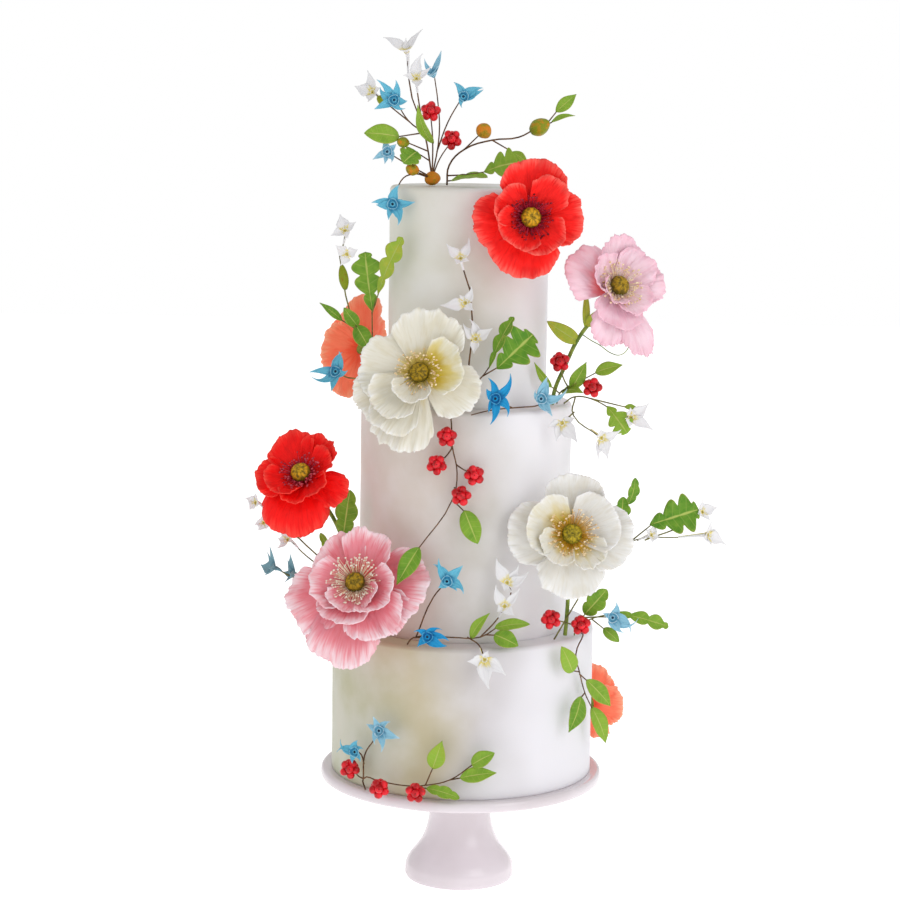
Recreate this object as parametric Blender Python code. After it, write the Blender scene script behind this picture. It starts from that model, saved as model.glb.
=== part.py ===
"""A three-tier wedding cake with sugar flowers, on its pedestal cake stand.

Every size below is in millimetres. X runs to the right, Y away from the front, Z up,
and the origin is the middle of the stand's foot, where it meets the table.
"""

import math

import bmesh
import bpy
from mathutils import Matrix, Vector

MM = 0.001
GAP = 0.3
SEAM_MERGE = 0.7
SCRAP_CORNERS = 6
BUD_SIDES = 4
ROUND_STEPS = 40

# Cake stand
STAND_HEIGHT = 113.0
PLATE_RADIUS = 137.6
PLATE_RIM = 11.2
FOOT_RADIUS = 53.5
WAIST_RADIUS = 30.0

# Tiers, six, eight and ten inches across
TOP_RADIUS = 76.2
MIDDLE_RADIUS = 101.6
BOTTOM_RADIUS = 127.0
BOTTOM_TIER_TOP = 257.0
MIDDLE_TIER_TOP = 475.0
TOP_TIER_TOP = 680.0
ICING_EDGE = 4.5

# Sugar flowers
PETAL_THICKNESS = 1.3
PETAL_ROWS = 3
PETAL_COLUMNS = 4
PETAL_ROOT = 4.0
PETAL_FOOT_SPREAD = 0.55
PETAL_CORNER_CUT = 0.20
PETAL_LIFT = 1.8
PETAL_CURL_START = 0.6
HEART_RADIUS = 7.5
HEART_DEPTH = 7.0
HEART_FRONT = 2.6
POD_RADIUS = 8.4
POD_HEIGHT = 10.5
CROWN_FOOT = 5.9
CROWN_VALLEY = 0.8
CROWN_RADIUS = 19.0
CROWN_POINTS = 6
STEM_RADIUS = 1.9

# Wired sprays
WIRE_RADIUS = 0.85
WIRE_CLEARANCE = 1.1
LEAF_THICKNESS = 1.0
BERRY_RADIUS = 9.6
BERRY_HOLLOW = 0.8
STAR_DEPTH = 4.0
STAR_SHOULDER = 0.5
STAR_SHOULDER_ANGLE = 15
STAR_SHARE = 0.36
STAR_WAIST = 0.34

TOWARDS_FRONT = (0.0, -1.0, 0.0)


def clear_scene():
    for item in list(bpy.data.objects):
        bpy.data.objects.remove(item, do_unlink=True)


def material(name, colour, roughness):
    look = bpy.data.materials.new(name)
    look.use_nodes = True
    shader = look.node_tree.nodes["Principled BSDF"]
    shader.inputs["Base Color"].default_value = (*colour, 1.0)
    shader.inputs["Roughness"].default_value = roughness
    shader.inputs["Metallic"].default_value = 0.0
    return look


def mesh_object(name, shape, look=None, smooth=True):
    """Turns a bmesh, drawn in millimetres, into an object in metres."""
    bmesh.ops.scale(shape, vec=(MM, MM, MM), verts=shape.verts)
    bmesh.ops.recalc_face_normals(shape, faces=shape.faces)
    if shape.calc_volume(signed=True) < 0:
        bmesh.ops.reverse_faces(shape, faces=shape.faces)
    mesh = bpy.data.meshes.new(name)
    shape.to_mesh(mesh)
    shape.free()
    if smooth:
        mesh.shade_smooth()
    item = bpy.data.objects.new(name, mesh)
    if look:
        mesh.materials.append(look)
    bpy.context.scene.collection.objects.link(item)
    return item


def turned(name, profile, look):
    """A solid turned round the Z axis from its outline, given from the bottom to the top."""
    shape = bmesh.new()
    points = [shape.verts.new((radius, 0.0, height)) for radius, height in profile]
    edges = [shape.edges.new(pair) for pair in zip(points, points[1:])]
    bmesh.ops.spin(
        shape,
        geom=points + edges,
        cent=(0, 0, 0),
        axis=(0, 0, 1),
        angle=math.tau,
        steps=ROUND_STEPS,
        use_merge=True,
    )
    bmesh.ops.remove_doubles(shape, verts=shape.verts, dist=0.001)
    item = mesh_object(name, shape, look)
    item.data.set_sharp_from_angle(angle=math.radians(40))
    return item


def fused(name, pieces, look, solver="EXACT"):
    """Joins closed pieces into one solid with one Boolean union, and removes the loose pieces."""
    first, rest = pieces[0], pieces[1:]
    others = bpy.data.collections.new(name + "_pieces")
    for piece in rest:
        others.objects.link(piece)
    union = first.modifiers.new("union", "BOOLEAN")
    union.operation = "UNION"
    union.operand_type = "COLLECTION"
    union.collection = others
    union.solver = solver
    bpy.context.view_layer.update()
    evaluated = first.evaluated_get(bpy.context.evaluated_depsgraph_get())
    mesh = bpy.data.meshes.new_from_object(evaluated)
    mesh.name = name
    mesh.materials.clear()
    mesh.materials.append(look)
    tidy_seams(mesh)
    for piece in pieces:
        bpy.data.objects.remove(piece, do_unlink=True)
    bpy.data.collections.remove(others)
    item = bpy.data.objects.new(name, mesh)
    bpy.context.scene.collection.objects.link(item)
    return item


def drop_scraps(shape):
    """Removes the tiny loose bits that a union can leave where two pieces just touch."""
    waiting = set(shape.verts)
    while waiting:
        island, edge_of_island = set(), [waiting.pop()]
        while edge_of_island:
            corner = edge_of_island.pop()
            island.add(corner)
            edge_of_island += [link.other_vert(corner) for link in corner.link_edges
                               if link.other_vert(corner) in waiting]
            waiting.difference_update(edge_of_island)
        if len(island) <= SCRAP_CORNERS:
            bmesh.ops.delete(shape, geom=list(island), context="VERTS")


def tidy_seams(mesh):
    """Merges the short edges that a union leaves along its seams, and keeps the solid closed."""
    shape = bmesh.new()
    shape.from_mesh(mesh)
    bmesh.ops.triangulate(shape, faces=shape.faces)
    drop_scraps(shape)
    searching = True
    while searching:
        searching = False
        for edge in sorted(shape.edges, key=lambda item: item.calc_length()):
            if edge.calc_length() > SEAM_MERGE * MM:
                break
            first, second = edge.verts
            near_first = {link.other_vert(first) for link in first.link_edges}
            near_second = {link.other_vert(second) for link in second.link_edges}
            if len(near_first & near_second) == 2:
                bmesh.ops.pointmerge(shape, verts=[first, second], merge_co=first.co.copy())
                searching = True
                break
    shape.to_mesh(mesh)
    shape.free()


def axes(facing, up=(0.0, 0.0, 1.0)):
    """Right, up and forward directions of a flower or leaf that faces a given way."""
    forward = Vector(facing).normalized()
    right = Vector(up).cross(forward).normalized()
    return right, forward.cross(right), forward


def tube(points, radius, sides=3, tip=1.0):
    """A closed tube along a few points, such as a floral wire."""
    shape = bmesh.new()
    path = [Vector(point) for point in points]
    rings = []
    side = None
    for index, point in enumerate(path):
        before = path[max(index - 1, 0)]
        after = path[min(index + 1, len(path) - 1)]
        along = (after - before).normalized()
        if side is None:
            side = along.orthogonal().normalized()
        side = (side - along * side.dot(along)).normalized()
        other = along.cross(side)
        width = radius * (1 + (tip - 1) * index / (len(path) - 1))
        ring = []
        for step in range(sides):
            angle = math.tau * step / sides
            offset = side * math.cos(angle) + other * math.sin(angle)
            ring.append(shape.verts.new(point + offset * width))
        rings.append(ring)
    for low, high in zip(rings, rings[1:]):
        for step in range(sides):
            following = (step + 1) % sides
            shape.faces.new((low[step], low[following], high[following], high[step]))
    shape.faces.new(rings[0][::-1])
    shape.faces.new(rings[-1])
    return mesh_object("tube", shape)


def sheet(rows, thickness, normals):
    """A thin closed solid over a grid of points that thins out to its rim.

    Both faces are split into triangles alike.
    """
    shape = bmesh.new()
    last_row, last_column = len(rows) - 1, len(rows[0]) - 1
    front, back = [], []
    for row, (points, leans) in enumerate(zip(rows, normals)):
        front.append([])
        back.append([])
        for column, (point, way) in enumerate(zip(points, leans)):
            on_rim = row in (0, last_row) or column in (0, last_column)
            lift = Vector() if on_rim else way * thickness / 2
            upper = shape.verts.new(point + lift)
            front[row].append(upper)
            back[row].append(upper if on_rim else shape.verts.new(point - lift))
    for row in range(last_row):
        for column in range(last_column):
            slant = (row < last_row / 2) == (column < last_column / 2)
            for layer in (front, back):
                near, far = layer[row], layer[row + 1]
                corners = (near[column], near[column + 1], far[column + 1], far[column])
                if slant:
                    halves = (corners[:3], (corners[0], corners[2], corners[3]))
                else:
                    halves = (corners[1:], (corners[0], corners[1], corners[3]))
                for half in halves:
                    shape.faces.new(half)
    return mesh_object("sheet", shape)


def leaf(base, tip, width, facing=TOWARDS_FRONT, bend=0.12, outline=(1.0, 0.85)):
    """A leaf folded along its midrib. The outline gives its width at even steps from the base."""
    base, tip = Vector(base), Vector(tip)
    along = tip - base
    length = along.length
    side = along.cross(Vector(facing)).normalized()
    up = side.cross(along).normalized()
    base = base - along * 0.06
    shape = bmesh.new()
    root, point = shape.verts.new(base), shape.verts.new(tip)
    ribs = ([], [])
    rims = ([], [])
    count = len(outline)
    for index, share in enumerate(outline):
        reach = (index + 1) / (count + 1)
        middle = base + along * 1.06 * reach + up * bend * length * math.sin(math.pi * reach)
        fold = up * width * share * 0.10
        for rib, sign in zip(ribs, (0.5, -0.5)):
            rib.append(shape.verts.new(middle + up * LEAF_THICKNESS * sign))
        for rim, sign in zip(rims, (-0.5, 0.5)):
            rim.append(shape.verts.new(middle + side * width * share * sign + fold))
    for rib in ribs:
        for rim in rims:
            middle_line = [root, *rib, point]
            edge_line = [root, *rim, point]
            for step in range(count + 1):
                low, high = middle_line[step], middle_line[step + 1]
                near, far = edge_line[step], edge_line[step + 1]
                if near is not low:
                    shape.faces.new((low, near, far if far is not high else high))
                if far is not high:
                    shape.faces.new((low, far, high))
    return mesh_object("leaf", shape)


OAK_OUTLINE = (0.35, 0.9, 0.5, 1.0, 0.6)
LOBED_OUTLINE = (0.8, 0.6, 1.0)
ROUND_OUTLINE = (0.85, 1.0, 0.8)


def bud(start, end, radius):
    """A plump bud or a swelling between two points."""
    start, end = Vector(start), Vector(end)
    steps = ((0.0, 0.35), (0.3, 1.0), (0.7, 0.95), (1.0, 0.25))
    shape = bmesh.new()
    along = (end - start).normalized()
    side = along.orthogonal().normalized()
    other = along.cross(side)
    rings = []
    for share, size in steps:
        ring = []
        for step in range(BUD_SIDES):
            angle = math.tau * step / BUD_SIDES
            offset = side * math.cos(angle) + other * math.sin(angle)
            ring.append(shape.verts.new(start.lerp(end, share) + offset * radius * size))
        rings.append(ring)
    for low, high in zip(rings, rings[1:]):
        for step in range(BUD_SIDES):
            following = (step + 1) % BUD_SIDES
            shape.faces.new((low[step], low[following], high[following], high[step]))
    shape.faces.new(rings[0][::-1])
    shape.faces.new(rings[-1])
    return mesh_object("bud", shape)


def star(centre, facing, petals, cup=0.25, depth=STAR_DEPTH, name="star", look=None):
    """A small blossom with pointed petals round a cone-shaped throat.

    Each petal is (angle in degrees, length), as seen from the front of the blossom.
    """
    right, up, forward = axes(facing)
    centre = Vector(centre)
    petals = sorted(petals)
    shape = bmesh.new()
    throat = shape.verts.new(centre - forward * depth * 0.25)
    back = shape.verts.new(centre - forward * depth)
    mean = sum(length for angle, length in petals) / len(petals)
    inner = mean * STAR_WAIST

    def at(angle, distance, height):
        way = right * math.cos(math.radians(angle)) + up * math.sin(math.radians(angle))
        return shape.verts.new(centre + way * distance + forward * height)

    rim = []
    count = len(petals)
    for index, (angle, length) in enumerate(petals):
        opening = (petals[(index + 1) % count][0] - angle) % 360 or 360
        before = (angle - petals[index - 1][0]) % 360 or 360
        reach = length * cup
        shoulder = length * STAR_SHOULDER
        rim.append(at(angle - min(STAR_SHOULDER_ANGLE, before * STAR_SHARE), shoulder, reach * 0.3))
        rim.append(at(angle, length, reach))
        rim.append(at(angle + min(STAR_SHOULDER_ANGLE, opening * STAR_SHARE), shoulder, reach * 0.3))
        if opening > 100:
            rim.append(at(angle + opening * 0.33, inner, 0.6))
            rim.append(at(angle + opening * 0.67, inner, 0.6))
        else:
            rim.append(at(angle + opening / 2, inner, 0.6))
    for index in range(len(rim)):
        following = (index + 1) % len(rim)
        shape.faces.new((throat, rim[index], rim[following]))
        shape.faces.new((back, rim[following], rim[index]))
    return mesh_object(name, shape, look, smooth=False)


def berries(name, centre, radius=BERRY_RADIUS, turn=0.0):
    """A tight cluster of sugar berries, one knobbly solid."""
    shape = bmesh.new()
    bmesh.ops.create_icosphere(shape, subdivisions=2, radius=radius)
    for corner in shape.verts:
        if len(corner.link_edges) == 6:
            corner.co *= BERRY_HOLLOW
    bmesh.ops.rotate(shape, verts=shape.verts, matrix=Matrix.Rotation(turn, 3, "Y"))
    bmesh.ops.translate(shape, verts=shape.verts, vec=centre)
    return mesh_object(name, shape, BERRY_RED, smooth=False)


def petal(right, up, forward, centre, angle, spread, length, rise, curl=0.0, ruffle=1.5, level=0.0):
    """One broad petal that grows out of the flower's heart.

    It is a fan, spread degrees wide, that lifts by rise at its rim. curl turns the rim
    back, and ruffle is the height of the waves along it.
    """
    rows, normals = [], []
    for row in range(PETAL_ROWS + 1):
        share = row / PETAL_ROWS
        points = []
        for column in range(PETAL_COLUMNS + 1):
            across = 2 * column / PETAL_COLUMNS - 1
            opening = PETAL_FOOT_SPREAD + (1 - PETAL_FOOT_SPREAD) * share
            turn = math.radians(angle + across * spread / 2 * opening)
            reach = length * (1 - PETAL_CORNER_CUT * across ** 4)
            distance = PETAL_ROOT + (reach - PETAL_ROOT) * share
            curled = max(0.0, share - PETAL_CURL_START) / (1 - PETAL_CURL_START)
            height = level + rise * share ** PETAL_LIFT - curl * curled ** 2
            height += ruffle * share ** 2 * math.sin(4.0 * across + angle)
            way = right * math.cos(turn) + up * math.sin(turn)
            points.append(centre + way * distance + forward * height)
        rows.append(points)
    for row in range(PETAL_ROWS + 1):
        lean = []
        for column in range(PETAL_COLUMNS + 1):
            outward = rows[min(row + 1, PETAL_ROWS)][column] - rows[max(row - 1, 0)][column]
            sideways = rows[row][min(column + 1, PETAL_COLUMNS)] - rows[row][max(column - 1, 0)]
            lean.append(outward.cross(sideways).normalized() * -1)
        normals.append(lean)
    return sheet(rows, PETAL_THICKNESS, normals)


def heart(centre, forward):
    """The small cup that joins the petals to the stem."""
    back = centre - forward * HEART_DEPTH
    middle = centre - forward * 2
    front = centre + forward * HEART_FRONT
    return tube([back, middle, front], HEART_RADIUS * 0.6, sides=6, tip=1.65)


def poppy(name, centre, facing, petals, colour, stem, leaves=()):
    """A large open flower: its petals and stem are one solid, its seed pod and stamens another."""
    right, up, forward = axes(facing)
    centre = Vector(centre)
    pieces = [heart(centre, forward)]
    for row in petals:
        pieces.append(petal(right, up, forward, centre, *row))
    start = centre - forward * (HEART_DEPTH - 1.5)
    pieces.append(tube([start, *stem], STEM_RADIUS, sides=4))
    for base, tip, width in leaves:
        pieces.append(leaf(base, tip, width, outline=ROUND_OUTLINE))
    fused(name + "_petals", pieces, colour)
    poppy_centre(name + "_centre", centre, right, up, forward)


def poppy_centre(name, centre, right, up, forward):
    """A round seed pod in a pointed crown of stamens, as one solid."""
    floor = HEART_FRONT + GAP * 2
    crown_height = CROWN_RADIUS * 0.82
    pod_top = floor + POD_HEIGHT
    sides = CROWN_POINTS * 2
    shape = bmesh.new()

    def ring(radius, height, valley=1.0):
        corners = []
        for step in range(sides):
            angle = math.tau * step / sides
            reach = radius * (valley if step % 2 else 1.0)
            way = right * math.cos(angle) + up * math.sin(angle)
            corners.append(shape.verts.new(centre + way * reach + forward * height))
        return corners

    rings = [
        ring(CROWN_FOOT, floor),
        ring(CROWN_RADIUS, floor + crown_height, CROWN_VALLEY),
        ring(POD_RADIUS * 0.66, floor + POD_HEIGHT * 0.18),
        ring(POD_RADIUS, floor + POD_HEIGHT * 0.66),
        ring(POD_RADIUS * 0.6, floor + POD_HEIGHT * 0.93),
    ]
    for low, high in zip(rings, rings[1:]):
        for step in range(sides):
            following = (step + 1) % sides
            shape.faces.new((low[step], low[following], high[following], high[step]))
    bottom = shape.verts.new(centre + forward * floor)
    top = shape.verts.new(centre + forward * pod_top)
    for step in range(sides):
        following = (step + 1) % sides
        shape.faces.new((bottom, rings[0][following], rings[0][step]))
        shape.faces.new((top, rings[-1][step], rings[-1][following]))
    mesh_object(name, shape, POD_GREEN)


clear_scene()

PORCELAIN = material("porcelain", (0.80, 0.77, 0.78), 0.18)
ICING = material("icing", (0.84, 0.81, 0.77), 0.6)
RED_PETAL = material("red_petal", (0.80, 0.03, 0.03), 0.55)
BLUSH_PETAL = material("blush_petal", (0.86, 0.55, 0.60), 0.55)
PINK_PETAL = material("pink_petal", (0.84, 0.32, 0.36), 0.55)
CREAM_PETAL = material("cream_petal", (0.88, 0.86, 0.78), 0.55)
CORAL_PETAL = material("coral_petal", (0.88, 0.20, 0.12), 0.55)
POD_GREEN = material("pod_green", (0.35, 0.30, 0.03), 0.6)
BERRY_RED = material("berry_red", (0.62, 0.02, 0.04), 0.25)
BLUE_PETAL = material("blue_petal", (0.10, 0.32, 0.52), 0.5)
LEAF_GREEN = material("leaf_green", (0.18, 0.32, 0.05), 0.5)


# Cake stand: one turned piece of glazed porcelain with a bell-shaped foot

PLATE_UNDERSIDE = STAND_HEIGHT - PLATE_RIM
turned("cake_stand", [
    (0, 0),
    (FOOT_RADIUS - 4.5, 0),
    (FOOT_RADIUS, 4),
    (FOOT_RADIUS - 0.7, 13),
    (FOOT_RADIUS - 4, 20),
    (FOOT_RADIUS - 10, 28),
    (FOOT_RADIUS - 15.5, 36),
    (WAIST_RADIUS + 4, 45),
    (WAIST_RADIUS + 1, 57),
    (WAIST_RADIUS, 70),
    (WAIST_RADIUS + 1.5, 85),
    (WAIST_RADIUS + 8, PLATE_UNDERSIDE - 5),
    (WAIST_RADIUS + 24, PLATE_UNDERSIDE - 1.5),
    (PLATE_RADIUS - 6, PLATE_UNDERSIDE),
    (PLATE_RADIUS - 1.2, PLATE_UNDERSIDE + 2),
    (PLATE_RADIUS, PLATE_UNDERSIDE + PLATE_RIM / 2),
    (PLATE_RADIUS - 1, STAND_HEIGHT - 1.6),
    (PLATE_RADIUS - 3.5, STAND_HEIGHT),
    (0, STAND_HEIGHT),
], PORCELAIN)


# Tiers: each is a solid cake covered in icing, with a softly rounded top edge

def tier(name, radius, bottom, top):
    half = ICING_EDGE * 0.29
    turned(name, [
        (0, bottom),
        (radius, bottom),
        (radius, top - ICING_EDGE),
        (radius - half, top - half),
        (radius - ICING_EDGE, top),
        (0, top),
    ], ICING)


tier("tier_bottom", BOTTOM_RADIUS, STAND_HEIGHT + GAP, BOTTOM_TIER_TOP)
tier("tier_middle", MIDDLE_RADIUS, BOTTOM_TIER_TOP + GAP, MIDDLE_TIER_TOP)
tier("tier_top", TOP_RADIUS, MIDDLE_TIER_TOP + GAP, TOP_TIER_TOP)


# Poppies: rows are petal angle, spread, length, rise, curl, ruffle and level

poppy("poppy_red_top", (54.5, -90, 654.5), (0.16, -0.97, 0.16), [
    (86, 100, 54, 15, 3, 2.5, 1.0),
    (358, 88, 49, 15, 2, 2.0, 0.0),
    (255, 112, 56, 9, 4, 2.0, -1.0),
    (184, 76, 54, 8, 4, 2.0, -0.5),
    (222, 128, 35, 23, 2, 1.5, 1.8),
], RED_PETAL, [(52, -80, 652), (48, -68, 648), (44, -63, 646)])

poppy("poppy_blush", (136, -74, 590), (0.42, -0.80, 0.40), [
    (146, 98, 54, 6, 8, 2.0, -1.0),
    (76, 84, 48, 16, 2, 2.5, 0.0),
    (8, 84, 47, 17, 3, 2.0, 0.6),
    (286, 40, 70, 8, 10, 3.0, -0.5),
    (250, 60, 56, 6, 10, 2.0, -1.0),
    (215, 100, 27, 20, 0, 1.0, 1.8),
], BLUSH_PETAL, [(121, -54, 565), (104, -46, 540), (92, -40, 512), (84, -36, 492), (81, -34, 476)],
      leaves=[((103, -45, 538), (74, -56, 557), 15), ((111, -49, 552), (110, -56, 586), 7)])

poppy("poppy_white_left", (-43, -113, 512), (-0.12, -0.95, 0.26), [
    (78, 98, 60, 16, 2, 2.0, 0.5),
    (172, 92, 58, 12, 4, 2.0, 0.0),
    (334, 78, 59, 4, 3, 2.0, -1.2),
    (14, 108, 43, 20, 1, 1.5, 1.6),
    (252, 68, 75, 5, 3, 3.0, -0.8),
    (256, 104, 31, 24, 0, 2.0, 2.0),
], CREAM_PETAL, [(-41, -100, 508), (-36, -84, 504), (-32, -71, 502)])

poppy("poppy_red_left", (-153, -70, 408), (-0.22, -0.76, 0.61), [
    (122, 92, 43, 15, 2, 2.0, 0.5),
    (58, 84, 42, 16, 2, 2.0, 0.0),
    (196, 80, 43, 14, 3, 2.0, 0.4),
    (338, 64, 48, 6, 8, 2.5, -1.0),
    (268, 104, 58, 6, 14, 2.5, -1.4),
    (296, 116, 38, 20, 3, 1.5, 1.6),
], RED_PETAL, [(-138, -52, 385), (-122, -44, 358), (-110, -40, 320), (-105, -38, 285), (-104, -38, 258)])

poppy("poppy_pink", (-99, -112, 314), (-0.22, -0.86, 0.46), [
    (128, 96, 50, 15, 3, 2.0, 0.4),
    (74, 84, 52, 17, 2, 2.5, 0.8),
    (4, 84, 70, 8, 4, 2.5, -1.2),
    (318, 72, 64, 10, 6, 2.5, -0.4),
    (262, 76, 80, 8, 10, 3.0, -1.0),
    (208, 84, 70, 9, 5, 2.5, -0.6),
    (280, 150, 33, 22, 1, 1.5, 2.0),
], PINK_PETAL, [(-94, -98, 306), (-84, -86, 300), (-74, -74, 298)])

poppy("poppy_white_right", (99, -100, 362), (0.06, -0.96, 0.26), [
    (86, 88, 56, 16, 2, 2.0, 0.4),
    (352, 92, 58, 14, 3, 2.0, 0.0),
    (268, 92, 60, 7, 3, 2.0, -1.2),
    (178, 88, 60, 10, 4, 2.0, -0.6),
    (220, 104, 33, 22, 1, 1.5, 1.8),
    (312, 76, 33, 20, 1, 1.5, 1.4),
], CREAM_PETAL, [(100, -84, 340), (99, -75, 305), (98, -69, 275), (97, -66, 258)])

poppy("poppy_coral_left", (-104, 38, 520), (-0.76, 0.60, 0.25), [
    (90, 100, 52, 12, 3, 2.0, 0.4),
    (185, 100, 52, 12, 3, 2.0, 0.0),
    (270, 92, 54, 8, 6, 2.0, -0.8),
    (0, 88, 50, 12, 3, 2.0, -0.4),
], CORAL_PETAL, [(-94, 30, 512), (-88, 24, 498), (-86, 20, 476)])

poppy("poppy_coral_right", (129, 62, 162), (0.76, 0.64, 0.12), [
    (88, 100, 40, 10, 2, 2.0, 0.4),
    (180, 92, 40, 10, 2, 2.0, 0.0),
    (268, 92, 40, 9, 3, 2.0, -0.6),
    (0, 92, 40, 10, 2, 2.0, -0.2),
], CORAL_PETAL, [(121, 56, 161), (115, 54.5, 160.5)])


# Blue blossoms: centre, facing, and the angle and length of each petal

def blue_blossom(name, centre, facing, petals, cup=0.22):
    star(centre, facing, petals, cup, STAR_DEPTH, name, BLUE_PETAL)


BLUE_BLOSSOMS = {
    "blossom_blue_top_high": ((-72, -38, 760), (-0.2, -0.95, 0.1),
                              [(120, 23), (69, 18), (207, 21), (165, 19), (345, 14), (280, 13)]),
    "blossom_blue_top_grey": ((-37, 10, 785), (-0.35, -0.35, 0.87),
                              [(75, 18), (165, 13), (255, 10), (340, 10)]),
    "blossom_blue_top_right": ((-8, -2, 764), (0.3, -0.9, 0.3),
                               [(107, 16), (38, 20), (9, 19), (342, 15), (230, 11)]),
    "blossom_blue_top_pale": ((-78, -38, 712), (-0.2, -0.95, 0.2),
                              [(210, 15), (105, 12), (34, 11), (330, 12), (265, 12)]),
    "blossom_blue_top_edge": ((-72, -54, 664), (-0.15, -0.98, 0.1),
                              [(165, 19), (87, 19), (0, 22), (315, 21), (250, 15), (192, 15)]),
    "blossom_blue_step_right": ((69, -84, 487), (0.1, -0.98, 0.15),
                                [(82, 21), (58, 17), (351, 25), (303, 19), (268, 14), (170, 10)]),
    "blossom_blue_step_left": ((26, -112, 490), (0.0, -0.99, 0.12),
                               [(90, 20), (35, 27), (346, 20), (277, 24), (233, 14), (149, 12)]),
    "blossom_blue_left": ((-124, -52, 506), (-0.2, -0.95, 0.2),
                          [(178, 24), (98, 19), (61, 19), (236, 22), (267, 19), (330, 12)]),
    "blossom_blue_shelf_high": ((-16, -131, 322), (0.1, -0.95, 0.3),
                                [(124, 22), (106, 20), (45, 20), (354, 19), (324, 13), (230, 10)]),
    "blossom_blue_shelf_low": ((-33, -137, 271), (-0.1, -0.98, 0.15),
                               [(68, 15), (14, 20), (323, 20), (219, 13), (124, 13)]),
    "blossom_blue_right": ((141, -77, 279), (0.15, -0.97, 0.15),
                           [(55, 15), (358, 22), (307, 24), (279, 18), (155, 11)]),
    "blossom_blue_base_pale": ((-77, -121, 177), (-0.35, -0.93, 0.2),
                               [(111, 14), (63, 15), (348, 23), (305, 20), (155, 14), (230, 13)]),
    "blossom_blue_base": ((-100, -105, 152), (-0.45, -0.88, 0.1),
                          [(151, 19), (190, 18), (105, 12), (66, 10), (330, 11), (250, 11)]),
}
for blossom_name, (spot, way, points) in BLUE_BLOSSOMS.items():
    blue_blossom(blossom_name, spot, way, points, 0.9 if "grey" in blossom_name else 0.22)


# Berry clusters: centre and turn

BERRY_CLUSTERS = {
    "berries_top_left": ((-38, -35, 750), 0.2),
    "berries_top_right": ((-18, -29, 724), 0.9),
    "berries_step_upper": ((87, -56, 519), 0.5),
    "berries_step_lower": ((118, -54, 495), 1.3),
    "berries_twig_first": ((-18, -119, 455), 0.3),
    "berries_twig_left": ((-27, -113, 428), 1.0),
    "berries_twig_right": ((8, -115, 419), 0.6),
    "berries_twig_last": ((-4, -117, 400), 0.1),
    "berries_shelf_left": ((82, -102, 282), 0.7),
    "berries_shelf_right": ((111, -84, 273), 0.4),
    "berries_base_left": ((-105, -99, 134), 1.1),
    "berries_base_middle": ((-76, -129, 124), 0.8),
    "berries_base_right": ((-42, -143, 124.5), 0.2),
}
for cluster_name, (spot, turn) in BERRY_CLUSTERS.items():
    berries(cluster_name, spot, BERRY_RADIUS, turn)


def to_blossom(name, *points):
    """A wire that ends just behind a blue blossom."""
    spot, way, petals = BLUE_BLOSSOMS[name]
    behind = Vector(spot) - Vector(way).normalized() * (STAR_DEPTH + GAP + 0.6)
    return [tube([*points, behind], WIRE_RADIUS)]


def to_berries(name, *points):
    """A wire that ends just short of a berry cluster."""
    spot = Vector(BERRY_CLUSTERS[name][0])
    back = (Vector(points[-1]) - spot).normalized()
    return [tube([*points, spot + back * (BERRY_RADIUS + GAP + 0.2)], WIRE_RADIUS)]


def wire(*points, radius=WIRE_RADIUS):
    return [tube(points, radius)]


def white_blossom(*points, centre, facing, petals, cup=0.28, depth=7.0):
    """A white blossom with a slim throat, at the end of its own wire."""
    centre = Vector(centre)
    inside = centre - Vector(facing).normalized() * depth * 0.55
    return [tube([*points, inside], WIRE_RADIUS), star(centre, facing, petals, cup, depth)]


def leafed(*points, tip, width, facing=TOWARDS_FRONT, bend=0.1, outline=(1.0, 0.85)):
    """A leaf at the end of its own wire."""
    pieces = [leaf(points[-1], tip, width, facing, bend, outline)]
    if len(points) > 1:
        pieces.append(tube(points, WIRE_RADIUS))
    return pieces


# Top sprays: wired blossoms, buds and leaves pushed into the top of the cake

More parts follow.
